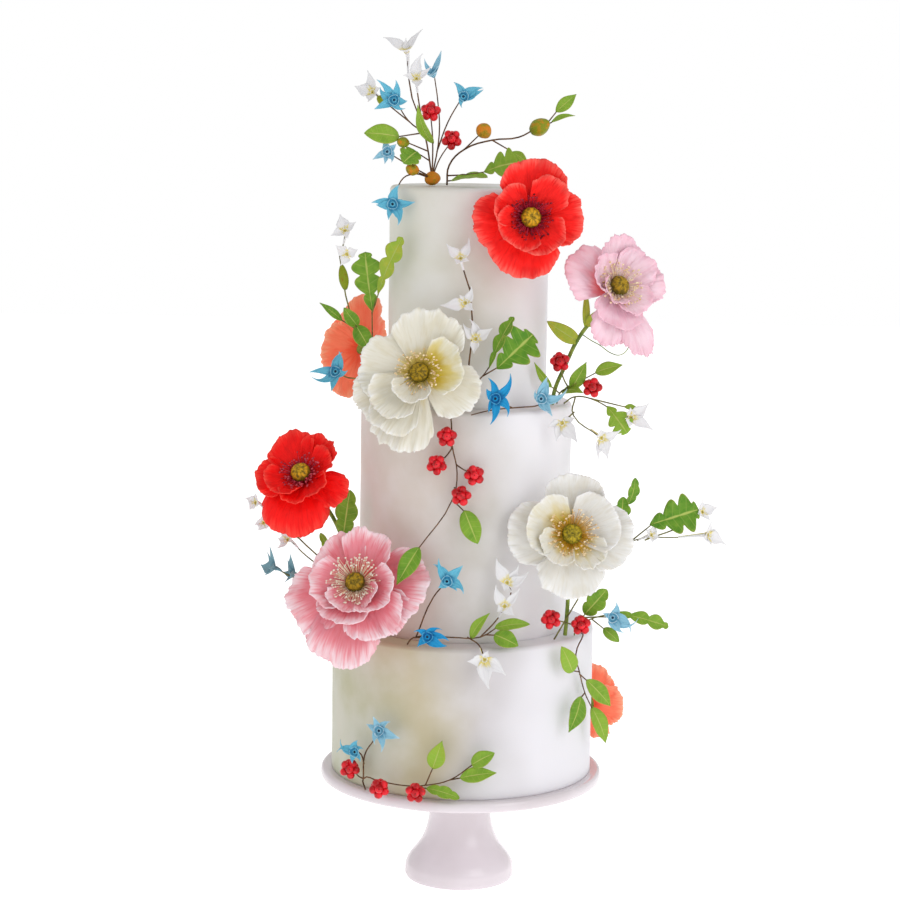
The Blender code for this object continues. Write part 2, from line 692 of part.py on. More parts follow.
HUB = (-36, -21, 688)
STEM_FORK = (-44, -19, 730)
ROOT_HEIGHT = TOP_TIER_TOP + WIRE_CLEARANCE
fused("spray_top_fan", [
    bud((-35, -20, ROOT_HEIGHT), (-37, -22, 694), 7.5),
    *wire(HUB, STEM_FORK, (-56, -15, 762), radius=1.0),
    *white_blossom((-56, -15, 762), (-60, -12, 785), centre=(-62, -10, 806), facing=(-0.25, -0.5, 0.85),
                   petals=[(58, 21), (110, 10), (165, 25), (300, 12)], cup=0.8),
    *white_blossom(STEM_FORK, (-50, -26, 762), centre=(-52, -33, 780), facing=(0.0, -0.8, 0.6),
                   petals=[(95, 24), (30, 17), (160, 12), (280, 14)], cup=0.35),
    *to_blossom("blossom_blue_top_high", STEM_FORK, (-58, -25, 740)),
    *white_blossom((-58, -25, 740), (-78, -8, 755), centre=(-94, 2, 767), facing=(-0.5, -0.8, 0.3),
                   petals=[(102, 20), (171, 20), (20, 10), (280, 11)]),
    bud((-80, -7, 756), (-89, -1, 763), 4.5),
    *to_blossom("blossom_blue_top_grey", HUB, (-30, -10, 728), (-32, 4, 760)),
    *to_blossom("blossom_blue_top_right", (-32, -14, 712), (-22, -6, 740)),
    *to_berries("berries_top_left", HUB, (-36, -28, 725)),
    *leafed((-36, -27.5, 722), tip=(-50, -50, 756), width=13, facing=(-0.5, -0.8, 0.0), bend=0.12),
    *to_berries("berries_top_right", HUB, (-29, -24, 706)),
    *leafed(STEM_FORK, (-69, -32, 726), tip=(-100, -36, 729), width=19, facing=(0.1, -0.9, 0.3),
            outline=ROUND_OUTLINE),
    *wire((-41, -20, 713), (-60, -35, 721)),
    bud((-58, -33.5, 720), (-69, -38, 722), 5),
    *leafed((-39, -20.5, 704), (-51, -36, 712), tip=(-63, -46, 702), width=22, facing=(0.0, -0.9, 0.4),
            outline=LOBED_OUTLINE),
    *wire(HUB, (-51, -39, 694)),
    bud((-49, -37, 694), (-60, -44, 698), 5.5),
    *to_blossom("blossom_blue_top_pale", HUB, (-64, -28, 703)),
    *to_blossom("blossom_blue_top_edge", HUB, (-60, -44, 690), (-68, -46, 679)),
], LEAF_GREEN)

fused("spray_top_branch", [
    *wire((-22, -14, ROOT_HEIGHT), (-20, -19, 700), (-6, -22, 715), (20, -20, 724), (45, -16, 727),
          (62, -12, 736), radius=1.0),
    bud((56, -13, 732), (74, -11, 742), 8.5),
    *wire((-6, -22, 715), (9, -27, 730)),
    bud((7, -26, 728), (17, -29, 738), 8),
    *leafed((70, -11.5, 738), (81, -8, 752), tip=(99, -4, 768), width=12, facing=(0.2, -0.9, 0.3)),
    *leafed((70, -11.5, 738), (77, -12, 742), tip=(98, -14, 748), width=8, facing=(0.0, -0.5, 0.8)),
    *leafed((20, -20, 724), (40, -30, 713), tip=(54, -32, 703), width=9, facing=(0.0, -0.9, 0.3)),
    *leafed((-21, -16.5, 690), (-2, -34, 692), (15, -40, 695), tip=(46, -47, 704), width=26,
            facing=(0.0, -0.8, 0.5), outline=OAK_OUTLINE),
    *leafed((-21, -15, 685), (-16, -30, 686), tip=(16, -46, 690), width=16, facing=(0.1, -0.45, 0.88),
            bend=0.06, outline=LOBED_OUTLINE),
], LEAF_GREEN)


# White blossom stem and oak leaves in front of the top tier

STEP_HEIGHT = MIDDLE_TIER_TOP + WIRE_CLEARANCE
fused("spray_front_white", [
    *wire((1, -89, STEP_HEIGHT), (1, -86, 513), (4, -86, 550), (1, -86, 590), radius=1.0),
    *white_blossom((1, -86, 588), (-5, -87, 606), centre=(-8, -92, 617), facing=(-0.1, -0.8, 0.6),
                   petals=[(145, 19), (51, 20), (250, 9), (330, 9)], cup=0.35),
    *white_blossom((2, -86, 570), centre=(-3, -92, 576), facing=(-0.1, -0.97, 0.2),
                   petals=[(195, 23), (52, 16), (310, 11), (120, 9)]),
    *white_blossom((3.5, -86, 545), centre=(7, -93, 543), facing=(0.05, -0.98, 0.15),
                   petals=[(141, 18), (87, 19), (32, 18), (258, 14)]),
    *leafed((1, -87.5, 495), (14, -98, 509), (21, -98, 519), tip=(42, -94, 564), width=13,
            facing=(-0.7, -0.7, 0.1), bend=0.05, outline=OAK_OUTLINE),
    *leafed((14, -98, 509), (29, -98, 518), tip=(60, -94, 548), width=33, facing=(0.0, -0.97, 0.2),
            bend=0.06, outline=OAK_OUTLINE),
], LEAF_GREEN)


# Leaves and wires round the foot of the tall blush poppy

fused("spray_step_right", [
    *leafed((86, -28, STEP_HEIGHT), (88, -33, 486), (98, -48, 495), (122, -51, 509),
            tip=(146, -56, 517), width=13, facing=(0.0, -0.9, 0.4)),
    *leafed((99, -47, 494), tip=(112, -53, 519), width=14, facing=(0.2, -0.9, 0.2)),
    *leafed((92, -39, 489), tip=(109, -64, 491), width=13, facing=(0.0, -0.8, 0.55)),
    *to_berries("berries_step_lower", (108.6, -49, 501.5)),
    *leafed((88.4, -33.6, 486.3), (79, -48, 495), tip=(63, -56, 518), width=8, facing=(-0.4, -0.8, 0.1)),
    *to_berries("berries_step_upper", (96, -45.5, 493.2), (90, -58, 505)),
], LEAF_GREEN)

fused("spray_step_low", [
    *wire((93, -26, STEP_HEIGHT), (103, -38, 484), (117, -42, 483), (143, -48, 470)),
    *leafed((117, -42, 483), (150, -47, 476), tip=(162, -50, 475), width=6, facing=(0, -0.8, 0.6)),
    *leafed((134, -46, 475), tip=(152, -54, 452), width=20, facing=(0.1, -0.95, 0.1), outline=OAK_OUTLINE),
    *white_blossom((141, -47.5, 471), centre=(155, -53, 467), facing=(0.3, -0.9, 0.2),
                   petals=[(30, 21), (330, 24), (90, 9), (250, 10)]),
    *white_blossom((103, -38, 484), (101, -55, 468), centre=(127, -67, 449), facing=(0.4, -0.85, -0.2),
                   petals=[(248, 18), (293, 20), (15, 20), (110, 10)]),
    *white_blossom((101.5, -52, 471), centre=(89, -84, 465), facing=(-0.2, -0.97, 0.1),
                   petals=[(251, 18), (317, 24), (21, 14), (188, 14)], cup=0.2),
], LEAF_GREEN)

fused("twig_step_edge", [
    *wire((72, -60, STEP_HEIGHT), (68, -70, 479), (61, -86, 480), (44, -97, 480),
          (20, -106, 478), (4, -108, 474)),
    *to_blossom("blossom_blue_step_right", (67, -72, 479), (68, -74, 483)),
    *to_blossom("blossom_blue_step_left", (42, -98, 480), (30, -102, 486)),
], LEAF_GREEN)


# Left sprays on the step of the middle tier and behind the pink poppy

fused("spray_left_high", [
    *wire((-86, -36, STEP_HEIGHT), (-90, -30, 515), (-97, -34, 530), (-112, -40, 563), (-122, -36, 614),
          radius=1.0),
    bud((-116, -39, 582), (-120, -37, 606), 4.5),
    *white_blossom((-121.5, -36, 611), centre=(-117, -41, 638), facing=(-0.2, -0.8, 0.6),
                   petals=[(115, 17), (39, 13), (214, 14), (300, 10)]),
    *white_blossom((-120, -36.5, 606), centre=(-115, -43, 616), facing=(0.1, -0.95, 0.1),
                   petals=[(145, 13), (20, 11), (250, 12)]),
    *leafed((-90, -31, 516), (-91, -34, 565), tip=(-98, -38, 618), width=24, facing=(-0.1, -0.97, 0.1),
            bend=0.05, outline=OAK_OUTLINE),
    *leafed((-91, -33.5, 560), (-84, -42, 582), tip=(-62, -70, 634), width=22, facing=(-0.5, -0.85, 0.1),
            bend=0.05, outline=OAK_OUTLINE),
    *leafed((-103, -36.5, 543), (-120, -40, 554), tip=(-140, -44, 570), width=8, facing=(0.1, -0.9, 0.3)),
    *leafed((-105, -37.5, 549), tip=(-117, -47, 566), width=13, facing=(-0.1, -0.95, 0.1),
            outline=ROUND_OUTLINE),
    *leafed((-105, -37.5, 547), tip=(-93, -41, 527), width=17, facing=(0.1, -0.95, 0.1),
            outline=ROUND_OUTLINE),
    *to_blossom("blossom_blue_left", (-88, -33, 500), (-112, -42, 499)),
], LEAF_GREEN)

SHELF_HEIGHT = BOTTOM_TIER_TOP + WIRE_CLEARANCE
LEFT_FORK = (-124, -60, 312)
fused("spray_left_low", [
    *wire((-108, -50, SHELF_HEIGHT), LEFT_FORK, (-161, -47, 348), radius=1.1),
    *white_blossom((-158, -48, 345), (-180, -46, 362), centre=(-199, -54, 380), facing=(-0.6, -0.8, 0.1),
                   petals=[(150, 10), (80, 10), (230, 9), (0, 8)]),
    *white_blossom((-176, -46.5, 359), centre=(-191, -56, 361), facing=(-0.3, -0.9, 0.0),
                   petals=[(180, 9), (90, 9), (0, 9), (250, 9)]),
    *white_blossom(LEFT_FORK, (-150, -54, 329), centre=(-168, -55, 345), facing=(-0.6, -0.8, 0.3),
                   petals=[(100, 12), (190, 12), (240, 13), (20, 9)]),
    *white_blossom(LEFT_FORK, (-148, -64, 303), centre=(-161, -62, 313), facing=(-0.85, -0.35, 0.35),
                   petals=[(90, 17), (140, 13), (200, 12), (270, 10), (0, 12)], cup=0.75),
    *white_blossom((-140, -63.5, 303.4), (-168, -60, 312), centre=(-180, -58, 318),
                   facing=(-0.85, -0.35, 0.35), cup=0.75,
                   petals=[(90, 18), (135, 13), (200, 14), (270, 10), (0, 14), (320, 12)]),
    *leafed(LEFT_FORK, (-115, -49, 352), tip=(-109, -57, 394), width=21, facing=(0.0, -0.97, 0.2),
            bend=0.08, outline=LOBED_OUTLINE),
    *leafed((-121, -56, 327), tip=(-137, -57, 352), width=10, facing=(-0.2, -0.95, 0.1),
            outline=LOBED_OUTLINE),
], LEAF_GREEN)


# Twig with berries that trails down the front of the middle tier

fused("twig_berries", [
    *leafed((-17, -93, STEP_HEIGHT), (-16, -101, 479), (-14, -109, 466), (-13, -109, 446), (-8, -110, 420),
            (-12, -110, 395), (-43, -121, 350), tip=(-62, -134, 319), width=18, facing=(-0.2, -0.95, 0.0),
            bend=0.08),
    *to_berries("berries_twig_first", (-13, -109, 443), (-14, -110, 445)),
    *to_berries("berries_twig_left", (-12.5, -109, 444), (-18, -110, 436)),
    *to_berries("berries_twig_right", (-9, -110, 428), (-3, -111, 424)),
    *to_berries("berries_twig_last", (-10.4, -109.8, 406.5)),
    *leafed((-12, -110, 395), (0, -114, 384), tip=(12, -116, 355), width=19, facing=(0.05, -0.98, 0.0),
            bend=0.08, outline=ROUND_OUTLINE),
], LEAF_GREEN)


# Twig that lies along the front of the bottom tier's step

fused("spray_shelf_front", [
    *leafed((-52, -112, SHELF_HEIGHT), (-46, -119, 266), (-12, -124, 268), (16, -121, 268), (31, -116, 276),
            tip=(62, -112, 279), width=12, facing=(0.0, -0.7, 0.7), bend=0.08, outline=ROUND_OUTLINE),
    *to_blossom("blossom_blue_shelf_high", (-44, -119.5, 266), (-28, -125, 306)),
    *to_blossom("blossom_blue_shelf_low", (-46, -119, 266), (-38, -126, 268)),
    *leafed((8, -122, 268), tip=(24, -127, 292), width=11, facing=(-0.5, -0.8, 0.2), bend=0.15),
    *leafed((20, -120, 270), (30, -121, 270), tip=(51, -129, 262), width=17, facing=(0.1, -0.9, 0.4),
            outline=ROUND_OUTLINE),
    *white_blossom((4, -122.5, 268), (15, -130, 262), centre=(20, -139, 251), facing=(0.0, -0.98, 0.1),
                   petals=[(191, 16), (270, 27), (333, 24), (80, 9)], cup=0.2),
    *white_blossom((16, -121, 268), (32, -112, 284), centre=(38, -114, 296), facing=(0.0, -0.9, 0.4),
                   petals=[(131, 21), (43, 22), (303, 13), (220, 9)]),
    *white_blossom((34, -111, 287), (44, -106, 308), centre=(40, -112, 318), facing=(0.1, -0.9, 0.4),
                   petals=[(124, 25), (43, 19), (2, 20), (240, 9)]),
], LEAF_GREEN)


# Sprays round the stem of the right white poppy

fused("spray_shelf_right", [
    *leafed((106, -62, SHELF_HEIGHT), (108, -66, 268), (116, -72, 282), tip=(135, -77, 306), width=19,
            facing=(0.1, -0.9, 0.3), outline=LOBED_OUTLINE),
    *leafed((108, -66, 268), (124, -66, 276), (146, -66, 281), tip=(195, -68, 269), width=13,
            facing=(0.0, -0.8, 0.55), bend=0.06, outline=OAK_OUTLINE),
    *to_blossom("blossom_blue_right", (113, -70, 277), (130, -70, 278)),
    *leafed((122, -66, 275), (134, -69, 266), tip=(148, -74, 255), width=11, facing=(0.1, -0.9, 0.3),
            outline=ROUND_OUTLINE),
    *to_berries("berries_shelf_left", (108, -66, 268), (93, -84, 276)),
    *to_berries("berries_shelf_right", (108, -65, 266), (109, -70, 269)),
], LEAF_GREEN)

fused("twig_hanging_right", [
    *leafed((113, -52, SHELF_HEIGHT), (114, -67, 259), (107, -81, 244), (111, -77, 226), (117, -70, 204),
            (125, -60, 186), tip=(139, -55, 151), width=17, facing=(0.5, -0.85, 0.1), bend=0.08),
    *leafed((111, -77, 226), (103, -93, 231), tip=(92, -107, 257), width=17, facing=(0.3, -0.9, 0.0),
            bend=0.08, outline=ROUND_OUTLINE),
    *leafed((111, -77, 224), (119, -72, 216), tip=(142, -64, 190), width=17, facing=(0.4, -0.9, 0.1),
            bend=0.08),
    *leafed((117, -70, 204), (112, -84, 202), tip=(101, -100, 173), width=18, facing=(0.4, -0.85, 0.1),
            bend=0.08),
], LEAF_GREEN)

fused("spray_side_right", [
    *wire((86, -82, SHELF_HEIGHT), (112, -66, 300), (129, -60, 326), (158, -57, 349), (205, -54, 353)),
    *leafed((158, -57, 349), (178, -57, 366), tip=(221, -59, 381), width=32, facing=(0.0, -0.97, 0.2),
            bend=0.06, outline=OAK_OUTLINE),
    *white_blossom((171, -56, 350), (212, -53, 367), centre=(225, -56, 378), facing=(0.5, -0.8, 0.3),
                   petals=[(100, 11), (20, 14), (300, 11), (200, 8)], cup=0.4),
    *white_blossom((203, -54, 353), centre=(231, -56, 356), facing=(0.8, -0.6, 0.1),
                   petals=[(100, 14), (335, 20), (20, 14), (200, 12), (270, 11)]),
    *white_blossom((164, -56.5, 349.5), centre=(177, -60, 356), facing=(0.6, -0.7, 0.3),
                   petals=[(60, 10), (150, 10), (330, 8), (250, 8)]),
    *leafed((129, -60, 326), (147, -58, 368), tip=(149, -66, 393), width=16, facing=(0.1, -0.95, 0.1),
            outline=LOBED_OUTLINE),
    *leafed((144, -58.5, 361), (155, -57, 386), tip=(160, -64, 411), width=12, facing=(0.4, -0.85, 0.1),
            outline=LOBED_OUTLINE),
], LEAF_GREEN)


# Spray that lies round the foot of the cake on the stand

PLATE_TOP = STAND_HEIGHT + GAP
fused("spray_base", [
    *leafed((-90, -101, PLATE_TOP + 1), (-92, -101, 125), (-76, -113, 126), (-48, -126.5, 126),
            (-33, -130.5, 128),
            (-10, -135, 135), (11, -138, 151), tip=(31, -141, 163), width=15, facing=(-0.2, -0.9, 0.3),
            bend=0.2, outline=ROUND_OUTLINE),
    *to_blossom("blossom_blue_base_pale", (-92, -101, 125), (-91, -101, 148), (-82, -111, 166)),
    *to_blossom("blossom_blue_base", (-91.5, -101, 139), (-94, -98, 147)),
    *to_berries("berries_base_left", (-92, -101, 125), (-96, -101, 127)),
    *to_berries("berries_base_middle", (-76, -113, 126), (-76, -115, 125.8)),
    *to_berries("berries_base_right", (-48, -126.5, 126), (-47, -130, 125.8)),
    *leafed((-33, -130.5, 128), (-26, -136, 147), tip=(-18, -142, 174), width=17, facing=(0.0, -0.97, 0.2),
            bend=0.08),
    *leafed((-10, -135, 135), (1, -138, 138), tip=(33, -141, 144), width=15, facing=(0.0, -0.85, 0.5),
            bend=0.08),
    *leafed((-46, -127, 126.2), (-30, -134.5, 126), tip=(-1, -141, 119), width=12, facing=(0.0, -0.8, 0.6),
            bend=0.08, outline=LOBED_OUTLINE),
], LEAF_GREEN)
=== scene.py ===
"""A three-tier wedding cake with sugar poppies and wired sprays, on its pedestal stand.

Sizes and places are in millimetres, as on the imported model; MM turns them into metres.
"""

import math
import random

import bmesh
import bpy
from mathutils import Matrix, Vector
from mathutils.noise import noise


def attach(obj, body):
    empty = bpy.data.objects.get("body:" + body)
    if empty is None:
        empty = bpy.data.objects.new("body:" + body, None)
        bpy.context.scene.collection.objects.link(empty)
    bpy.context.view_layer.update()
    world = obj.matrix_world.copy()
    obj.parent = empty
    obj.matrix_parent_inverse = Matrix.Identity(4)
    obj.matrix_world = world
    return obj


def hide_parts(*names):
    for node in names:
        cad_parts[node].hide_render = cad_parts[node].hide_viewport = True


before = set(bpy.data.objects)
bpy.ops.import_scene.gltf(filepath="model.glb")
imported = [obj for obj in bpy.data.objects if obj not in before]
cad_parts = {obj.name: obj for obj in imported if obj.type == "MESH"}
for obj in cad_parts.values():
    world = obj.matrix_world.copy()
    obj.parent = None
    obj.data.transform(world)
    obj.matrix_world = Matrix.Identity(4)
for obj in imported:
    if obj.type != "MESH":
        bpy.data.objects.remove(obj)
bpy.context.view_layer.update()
bpy.ops.object.select_all(action="DESELECT")
MM = 0.001


# Camera: it stands well back, a little higher than the cake's top edge, and looks slightly down
# through a long lens, a touch off level.

CAMERA_PLACE = (-7.74, -2345.7, 766.3)
CAMERA_YAW = -0.0032
CAMERA_PITCH = 0.1443
CAMERA_ROLL = 0.0154

bpy.ops.object.camera_add()
camera = bpy.context.object
camera.data.lens = 97.95
camera.data.sensor_width = 36
camera.data.clip_end = 30
level = Vector((math.cos(CAMERA_YAW), -math.sin(CAMERA_YAW), 0))
ahead = Vector((
    math.sin(CAMERA_YAW) * math.cos(CAMERA_PITCH),
    math.cos(CAMERA_YAW) * math.cos(CAMERA_PITCH),
    -math.sin(CAMERA_PITCH),
))
above = level.cross(ahead)
right_hand = level * math.cos(CAMERA_ROLL) + above * math.sin(CAMERA_ROLL)
overhead = above * math.cos(CAMERA_ROLL) - level * math.sin(CAMERA_ROLL)
turn = Matrix((right_hand, overhead, -ahead)).transposed().to_4x4()
camera.matrix_world = Matrix.Translation(Vector(CAMERA_PLACE) * MM) @ turn
bpy.context.scene.camera = camera


# Finishes and shapes: what the sections below share. Colours are as read on a screen, noise stays
# fixed to its object, and each piece becomes one clean mesh.

TURNED_STEPS = 160
TURNED_MERGE = 0.02
TURNED_SHARP = 38
WIRE_MERGE = 0.01
WIRE_SHARP = 60
SHEET_MERGE = 0.022
COAT_ROUGHNESS = 0.08
GLOW_DEPTH = 3.0


def paint(red, green, blue):
    """A colour as read on a screen, 0 to 255, in the numbers that a shader uses."""
    return (*(((value / 255 + 0.055) / 1.055) ** 2.4 for value in (red, green, blue)), 1.0)


def add(tree, kind, inputs=None, **settings):
    """Adds a shader node. An input is a number, a colour or another node's output."""
    item = tree.nodes.new(kind)
    for name, value in settings.items():
        setattr(item, name, value)
    for name, value in (inputs or {}).items():
        if isinstance(value, bpy.types.NodeSocket):
            tree.links.new(value, item.inputs[name])
        else:
            item.inputs[name].default_value = value
    return item


def new_finish(name, roughness, coat=0.0, inner_glow=0.0, sheen=0.2):
    """A material and its node tree.

    inner_glow is the light that sinks into sugar, and sheen the strength of the bare surface's shine.
    """
    look = bpy.data.materials.new(name)
    look.use_nodes = True
    values = {
        "Roughness": roughness, "Specular IOR Level": sheen, "Coat Weight": coat,
        "Coat Roughness": COAT_ROUGHNESS, "Subsurface Weight": inner_glow,
        "Subsurface Scale": GLOW_DEPTH * MM, "Subsurface Radius": (1.0, 0.85, 0.75),
    }
    for socket, value in values.items():
        shader_inputs(look)[socket].default_value = value
    return look, look.node_tree


def shader_inputs(look):
    return look.node_tree.nodes["Principled BSDF"].inputs


def dressed(look, colour, height, depth, strength):
    """Gives a finish its colour, and raises it by depth millimetres where the height is one."""
    tree = look.node_tree
    relief = add(tree, "ShaderNodeBump", {"Height": height, "Distance": depth * MM, "Strength": strength})
    tree.links.new(colour, shader_inputs(look)["Base Color"])
    tree.links.new(relief.outputs[0], shader_inputs(look)["Normal"])
    return look


def blend(tree, share, first, second):
    """Mixes two colours, each as read on a screen or another node's output."""
    first, second = (paint(*value) if isinstance(value, tuple) else value for value in (first, second))
    return add(tree, "ShaderNodeMix", {0: share, 6: first, 7: second}, data_type="RGBA").outputs[2]


def ramp(tree, value, low, high, out_low=0.0, out_high=1.0):
    """Stretches a value between two limits onto another range, with soft ends."""
    return add(tree, "ShaderNodeMapRange", {
        "Value": value, "From Min": low, "From Max": high, "To Min": out_low, "To Max": out_high,
    }, interpolation_type="SMOOTHSTEP").outputs[0]


def maths(tree, operation, *values):
    return add(tree, "ShaderNodeMath", dict(enumerate(values)), operation=operation).outputs[0]


def clouds(tree, scale, detail):
    """Soft noise that stays fixed to the object."""
    spot = add(tree, "ShaderNodeTexCoord").outputs["Object"]
    return add(tree, "ShaderNodeTexNoise", {"Vector": spot, "Scale": scale, "Detail": detail}).outputs["Fac"]


def across_and_along(tree):
    """The two shares of the way over a sheet: along its rows, and from its first row to its last."""
    over = add(tree, "ShaderNodeTexCoord").outputs["UV"]
    split = add(tree, "ShaderNodeSeparateXYZ", {"Vector": over}).outputs
    return split["X"], split["Y"]


def tone_value(tree):
    """The tone that a sheet was given."""
    return add(tree, "ShaderNodeAttribute", attribute_name="tone").outputs["Fac"]


def smooth_outline(points, steps=6):
    """More points on a soft curve through an outline's own points."""
    ends = [points[0], *points, points[-1]]
    curve = []
    for index in range(1, len(ends) - 2):
        a, b, c, d = (Vector(p) for p in ends[index - 1:index + 3])
        for step in range(steps):
            t = step / steps
            curve.append(tuple(0.5 * (2 * b + (c - a) * t + (2 * a - 5 * b + 4 * c - d) * t * t
                                      + (3 * b - a - 3 * c + d) * t ** 3)))
    return curve + [tuple(points[-1])]


def new_object(name, data):
    """Puts new data into the scene, as the one object that is selected."""
    piece = bpy.data.objects.new(name, data)
    bpy.context.collection.objects.link(piece)
    bpy.ops.object.select_all(action="DESELECT")
    piece.select_set(True)
    bpy.context.view_layer.objects.active = piece
    return piece


def clean(merge=0.0):
    """Joins the selected mesh's corners that are closer than merge, and turns its faces outwards."""
    bpy.ops.object.mode_set(mode="EDIT")
    bpy.ops.mesh.select_all(action="SELECT")
    if merge:
        bpy.ops.mesh.remove_doubles(threshold=merge * MM)
    bpy.ops.mesh.normals_make_consistent(inside=False)
    bpy.ops.object.mode_set(mode="OBJECT")


def turned(name, outline, look):
    """A piece turned round the Z axis from its outline, bottom to top."""
    mesh = bpy.data.meshes.new(name)
    corners = [(radius * MM, 0, height * MM) for radius, height in outline]
    mesh.from_pydata(corners, [(i, i + 1) for i in range(len(corners) - 1)], [])
    piece = new_object(name, mesh)
    bpy.ops.object.mode_set(mode="EDIT")
    bpy.ops.mesh.select_all(action="SELECT")
    bpy.ops.mesh.spin(steps=TURNED_STEPS, angle=math.tau, center=(0, 0, 0), axis=(0, 0, 1))
    bpy.ops.object.mode_set(mode="OBJECT")
    clean(TURNED_MERGE)
    bpy.ops.object.shade_smooth_by_angle(angle=math.radians(TURNED_SHARP))
    mesh.materials.append(look)
    return piece


def place(piece, node):
    """Fixes a finished piece to the cake, in place of the plain solid that it stands for."""
    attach(piece, "root")
    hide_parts(node)


def axes(facing, up=(0.0, 0.0, 1.0)):
    """Right, up and forward directions of a flower or leaf that faces a given way."""
    forward = Vector(facing).normalized()
    right = Vector(up).cross(forward).normalized()
    return right, forward.cross(right), forward


def around(directions, angle):
    """Outward and sideways directions at an angle round a flower's axis."""
    right, up, forward = directions
    return right * math.cos(angle) + up * math.sin(angle), up * math.cos(angle) - right * math.sin(angle)


def thin_piece(name, sheets, thickness, looks):
    """Thin shapes as one piece. A sheet is its rows of points, its tone and its look's number."""
    shape = bmesh.new()
    layout = shape.loops.layers.uv.new("UVMap")
    tones = shape.verts.layers.float.new("tone")
    for rows, tone, look in sheets:
        last_row, last_column = len(rows) - 1, len(rows[0]) - 1
        grid = [[shape.verts.new(point * MM) for point in row] for row in rows]
        for corner in (corner for row in grid for corner in row):
            corner[tones] = tone
        for row in range(last_row):
            for column in range(last_column):
                steps = ((column, row), (column + 1, row), (column + 1, row + 1), (column, row + 1))
                face = shape.faces.new([grid[down][over] for over, down in steps])
                face.material_index = look
                face.smooth = True
                for loop, (over, down) in zip(face.loops, steps):
                    loop[layout].uv = (over / last_column, down / last_row)
    bmesh.ops.remove_doubles(shape, verts=shape.verts, dist=SHEET_MERGE * MM)
    mesh = bpy.data.meshes.new(name)
    shape.to_mesh(mesh)
    shape.free()
    piece = new_object(name, mesh)
    for look in looks:
        mesh.materials.append(look)
    if thickness:
        wall = piece.modifiers.new("wall", "SOLIDIFY")
        wall.thickness = thickness * MM
        wall.offset = 0
        bpy.ops.object.modifier_apply(modifier=wall.name)
    else:
        clean()
    return piece


def strands(name, lines, looks, sides=6):
    """Wires, stems or filaments. A line is its points, its first and last radius and its look."""
    curve = bpy.data.curves.new(name, "CURVE")
    curve.dimensions = "3D"
    curve.resolution_u = 4
    curve.bevel_depth = MM
    curve.bevel_resolution = (sides - 4) // 2
    curve.use_fill_caps = True
    for look in looks:
        curve.materials.append(look)
    for points, first, last, look in lines:
        spline = curve.splines.new("BEZIER")
        spline.bezier_points.add(len(points) - 1)
        spline.material_index = look
        for index, (knot, point) in enumerate(zip(spline.bezier_points, points)):
            knot.co = Vector(point) * MM
            knot.handle_left_type = knot.handle_right_type = "AUTO"
            knot.radius = first + (last - first) * index / (len(points) - 1)
    new_object(name, curve)
    bpy.ops.object.convert(target="MESH")
    clean(WIRE_MERGE)
    bpy.ops.object.shade_smooth_by_angle(angle=math.radians(WIRE_SHARP))
    return bpy.context.object


def ring_rows(centre, directions, outline, columns, ribs=0, relief=0.0, phase=0.0):
    """Rows of a round form about an axis. The outline gives radius and height along it."""
    rows = []
    for radius, height in outline:
        row = []
        for column in range(columns + 1):
            angle = math.tau * (column % columns) / columns
            reach = radius * (1 + relief * math.sin(ribs * angle + phase))
            row.append(centre + around(directions, angle)[0] * reach + directions[2] * height)
        rows.append(row)
    return rows


# Cake stand: one turned piece of white porcelain with a bell-shaped foot and a shallow rim,
# dipped in a clear glaze that pools very slightly and catches the window light.

STAND_HEIGHT = 113.0
PLATE_RADIUS = 137.6
PLATE_RIM = 11.2
PLATE_UNDERSIDE = STAND_HEIGHT - PLATE_RIM
PLATE_FACE = STAND_HEIGHT - 0.1
FOOT_RADIUS = 53.5
WAIST_RADIUS = 30.0


def porcelain():
    look, tree = new_finish("porcelain_glaze", 0.26, coat=0.35, sheen=0.4)
    cloud = clouds(tree, 14.0, 3.0)
    tone = blend(tree, ramp(tree, cloud, 0.3, 0.7), (214, 205, 209), (223, 215, 220))
    return dressed(look, tone, cloud, 0.5, 0.2)


foot = smooth_outline([
    (FOOT_RADIUS, 4), (FOOT_RADIUS - 0.7, 13), (FOOT_RADIUS - 4, 20), (FOOT_RADIUS - 10, 28),
    (FOOT_RADIUS - 15.5, 36), (WAIST_RADIUS + 4, 45), (WAIST_RADIUS + 1, 57), (WAIST_RADIUS, 70),
    (WAIST_RADIUS + 1.5, 85), (WAIST_RADIUS + 8, PLATE_UNDERSIDE - 5),
    (WAIST_RADIUS + 24, PLATE_UNDERSIDE - 1.5),
])
rim = smooth_outline([
    (PLATE_RADIUS - 6, PLATE_UNDERSIDE), (PLATE_RADIUS - 1.2, PLATE_UNDERSIDE + 2),
    (PLATE_RADIUS, PLATE_UNDERSIDE + PLATE_RIM / 2), (PLATE_RADIUS - 1, STAND_HEIGHT - 1.6),
    (PLATE_RADIUS - 3.5, STAND_HEIGHT), (PLATE_RADIUS - 8, PLATE_FACE),
])
underside = [(0, 0), (FOOT_RADIUS - 4.5, 0), (FOOT_RADIUS - 1.6, 0.9)]
stand = turned("stand_glazed", [*underside, *foot, *rim, (0, PLATE_FACE)], porcelain())
place(stand, "cake_stand")


# Tiers: three round cakes, six, eight and ten inches across, each covered in rolled icing that is
# smoothed by hand over a soft edge and brushed with faint pastel washes of olive, tan and pink. The
# washes also carry painted shade, darkest on the left away from the window and lightest on the right.

TOP_RADIUS = 76.2
MIDDLE_RADIUS = 101.6
BOTTOM_RADIUS = 127.0
BOTTOM_TIER_TOP = 257.0
MIDDLE_TIER_TOP = 475.0
TOP_TIER_TOP = 680.0
ICING_EDGE = 4.5
HAND_UNEVENNESS = 0.35
GAP = 0.05
WASH_AND_SHADE_EDGES = ((-0.04, 0.03), (0.02, 0.10), (0.07, 0.155))


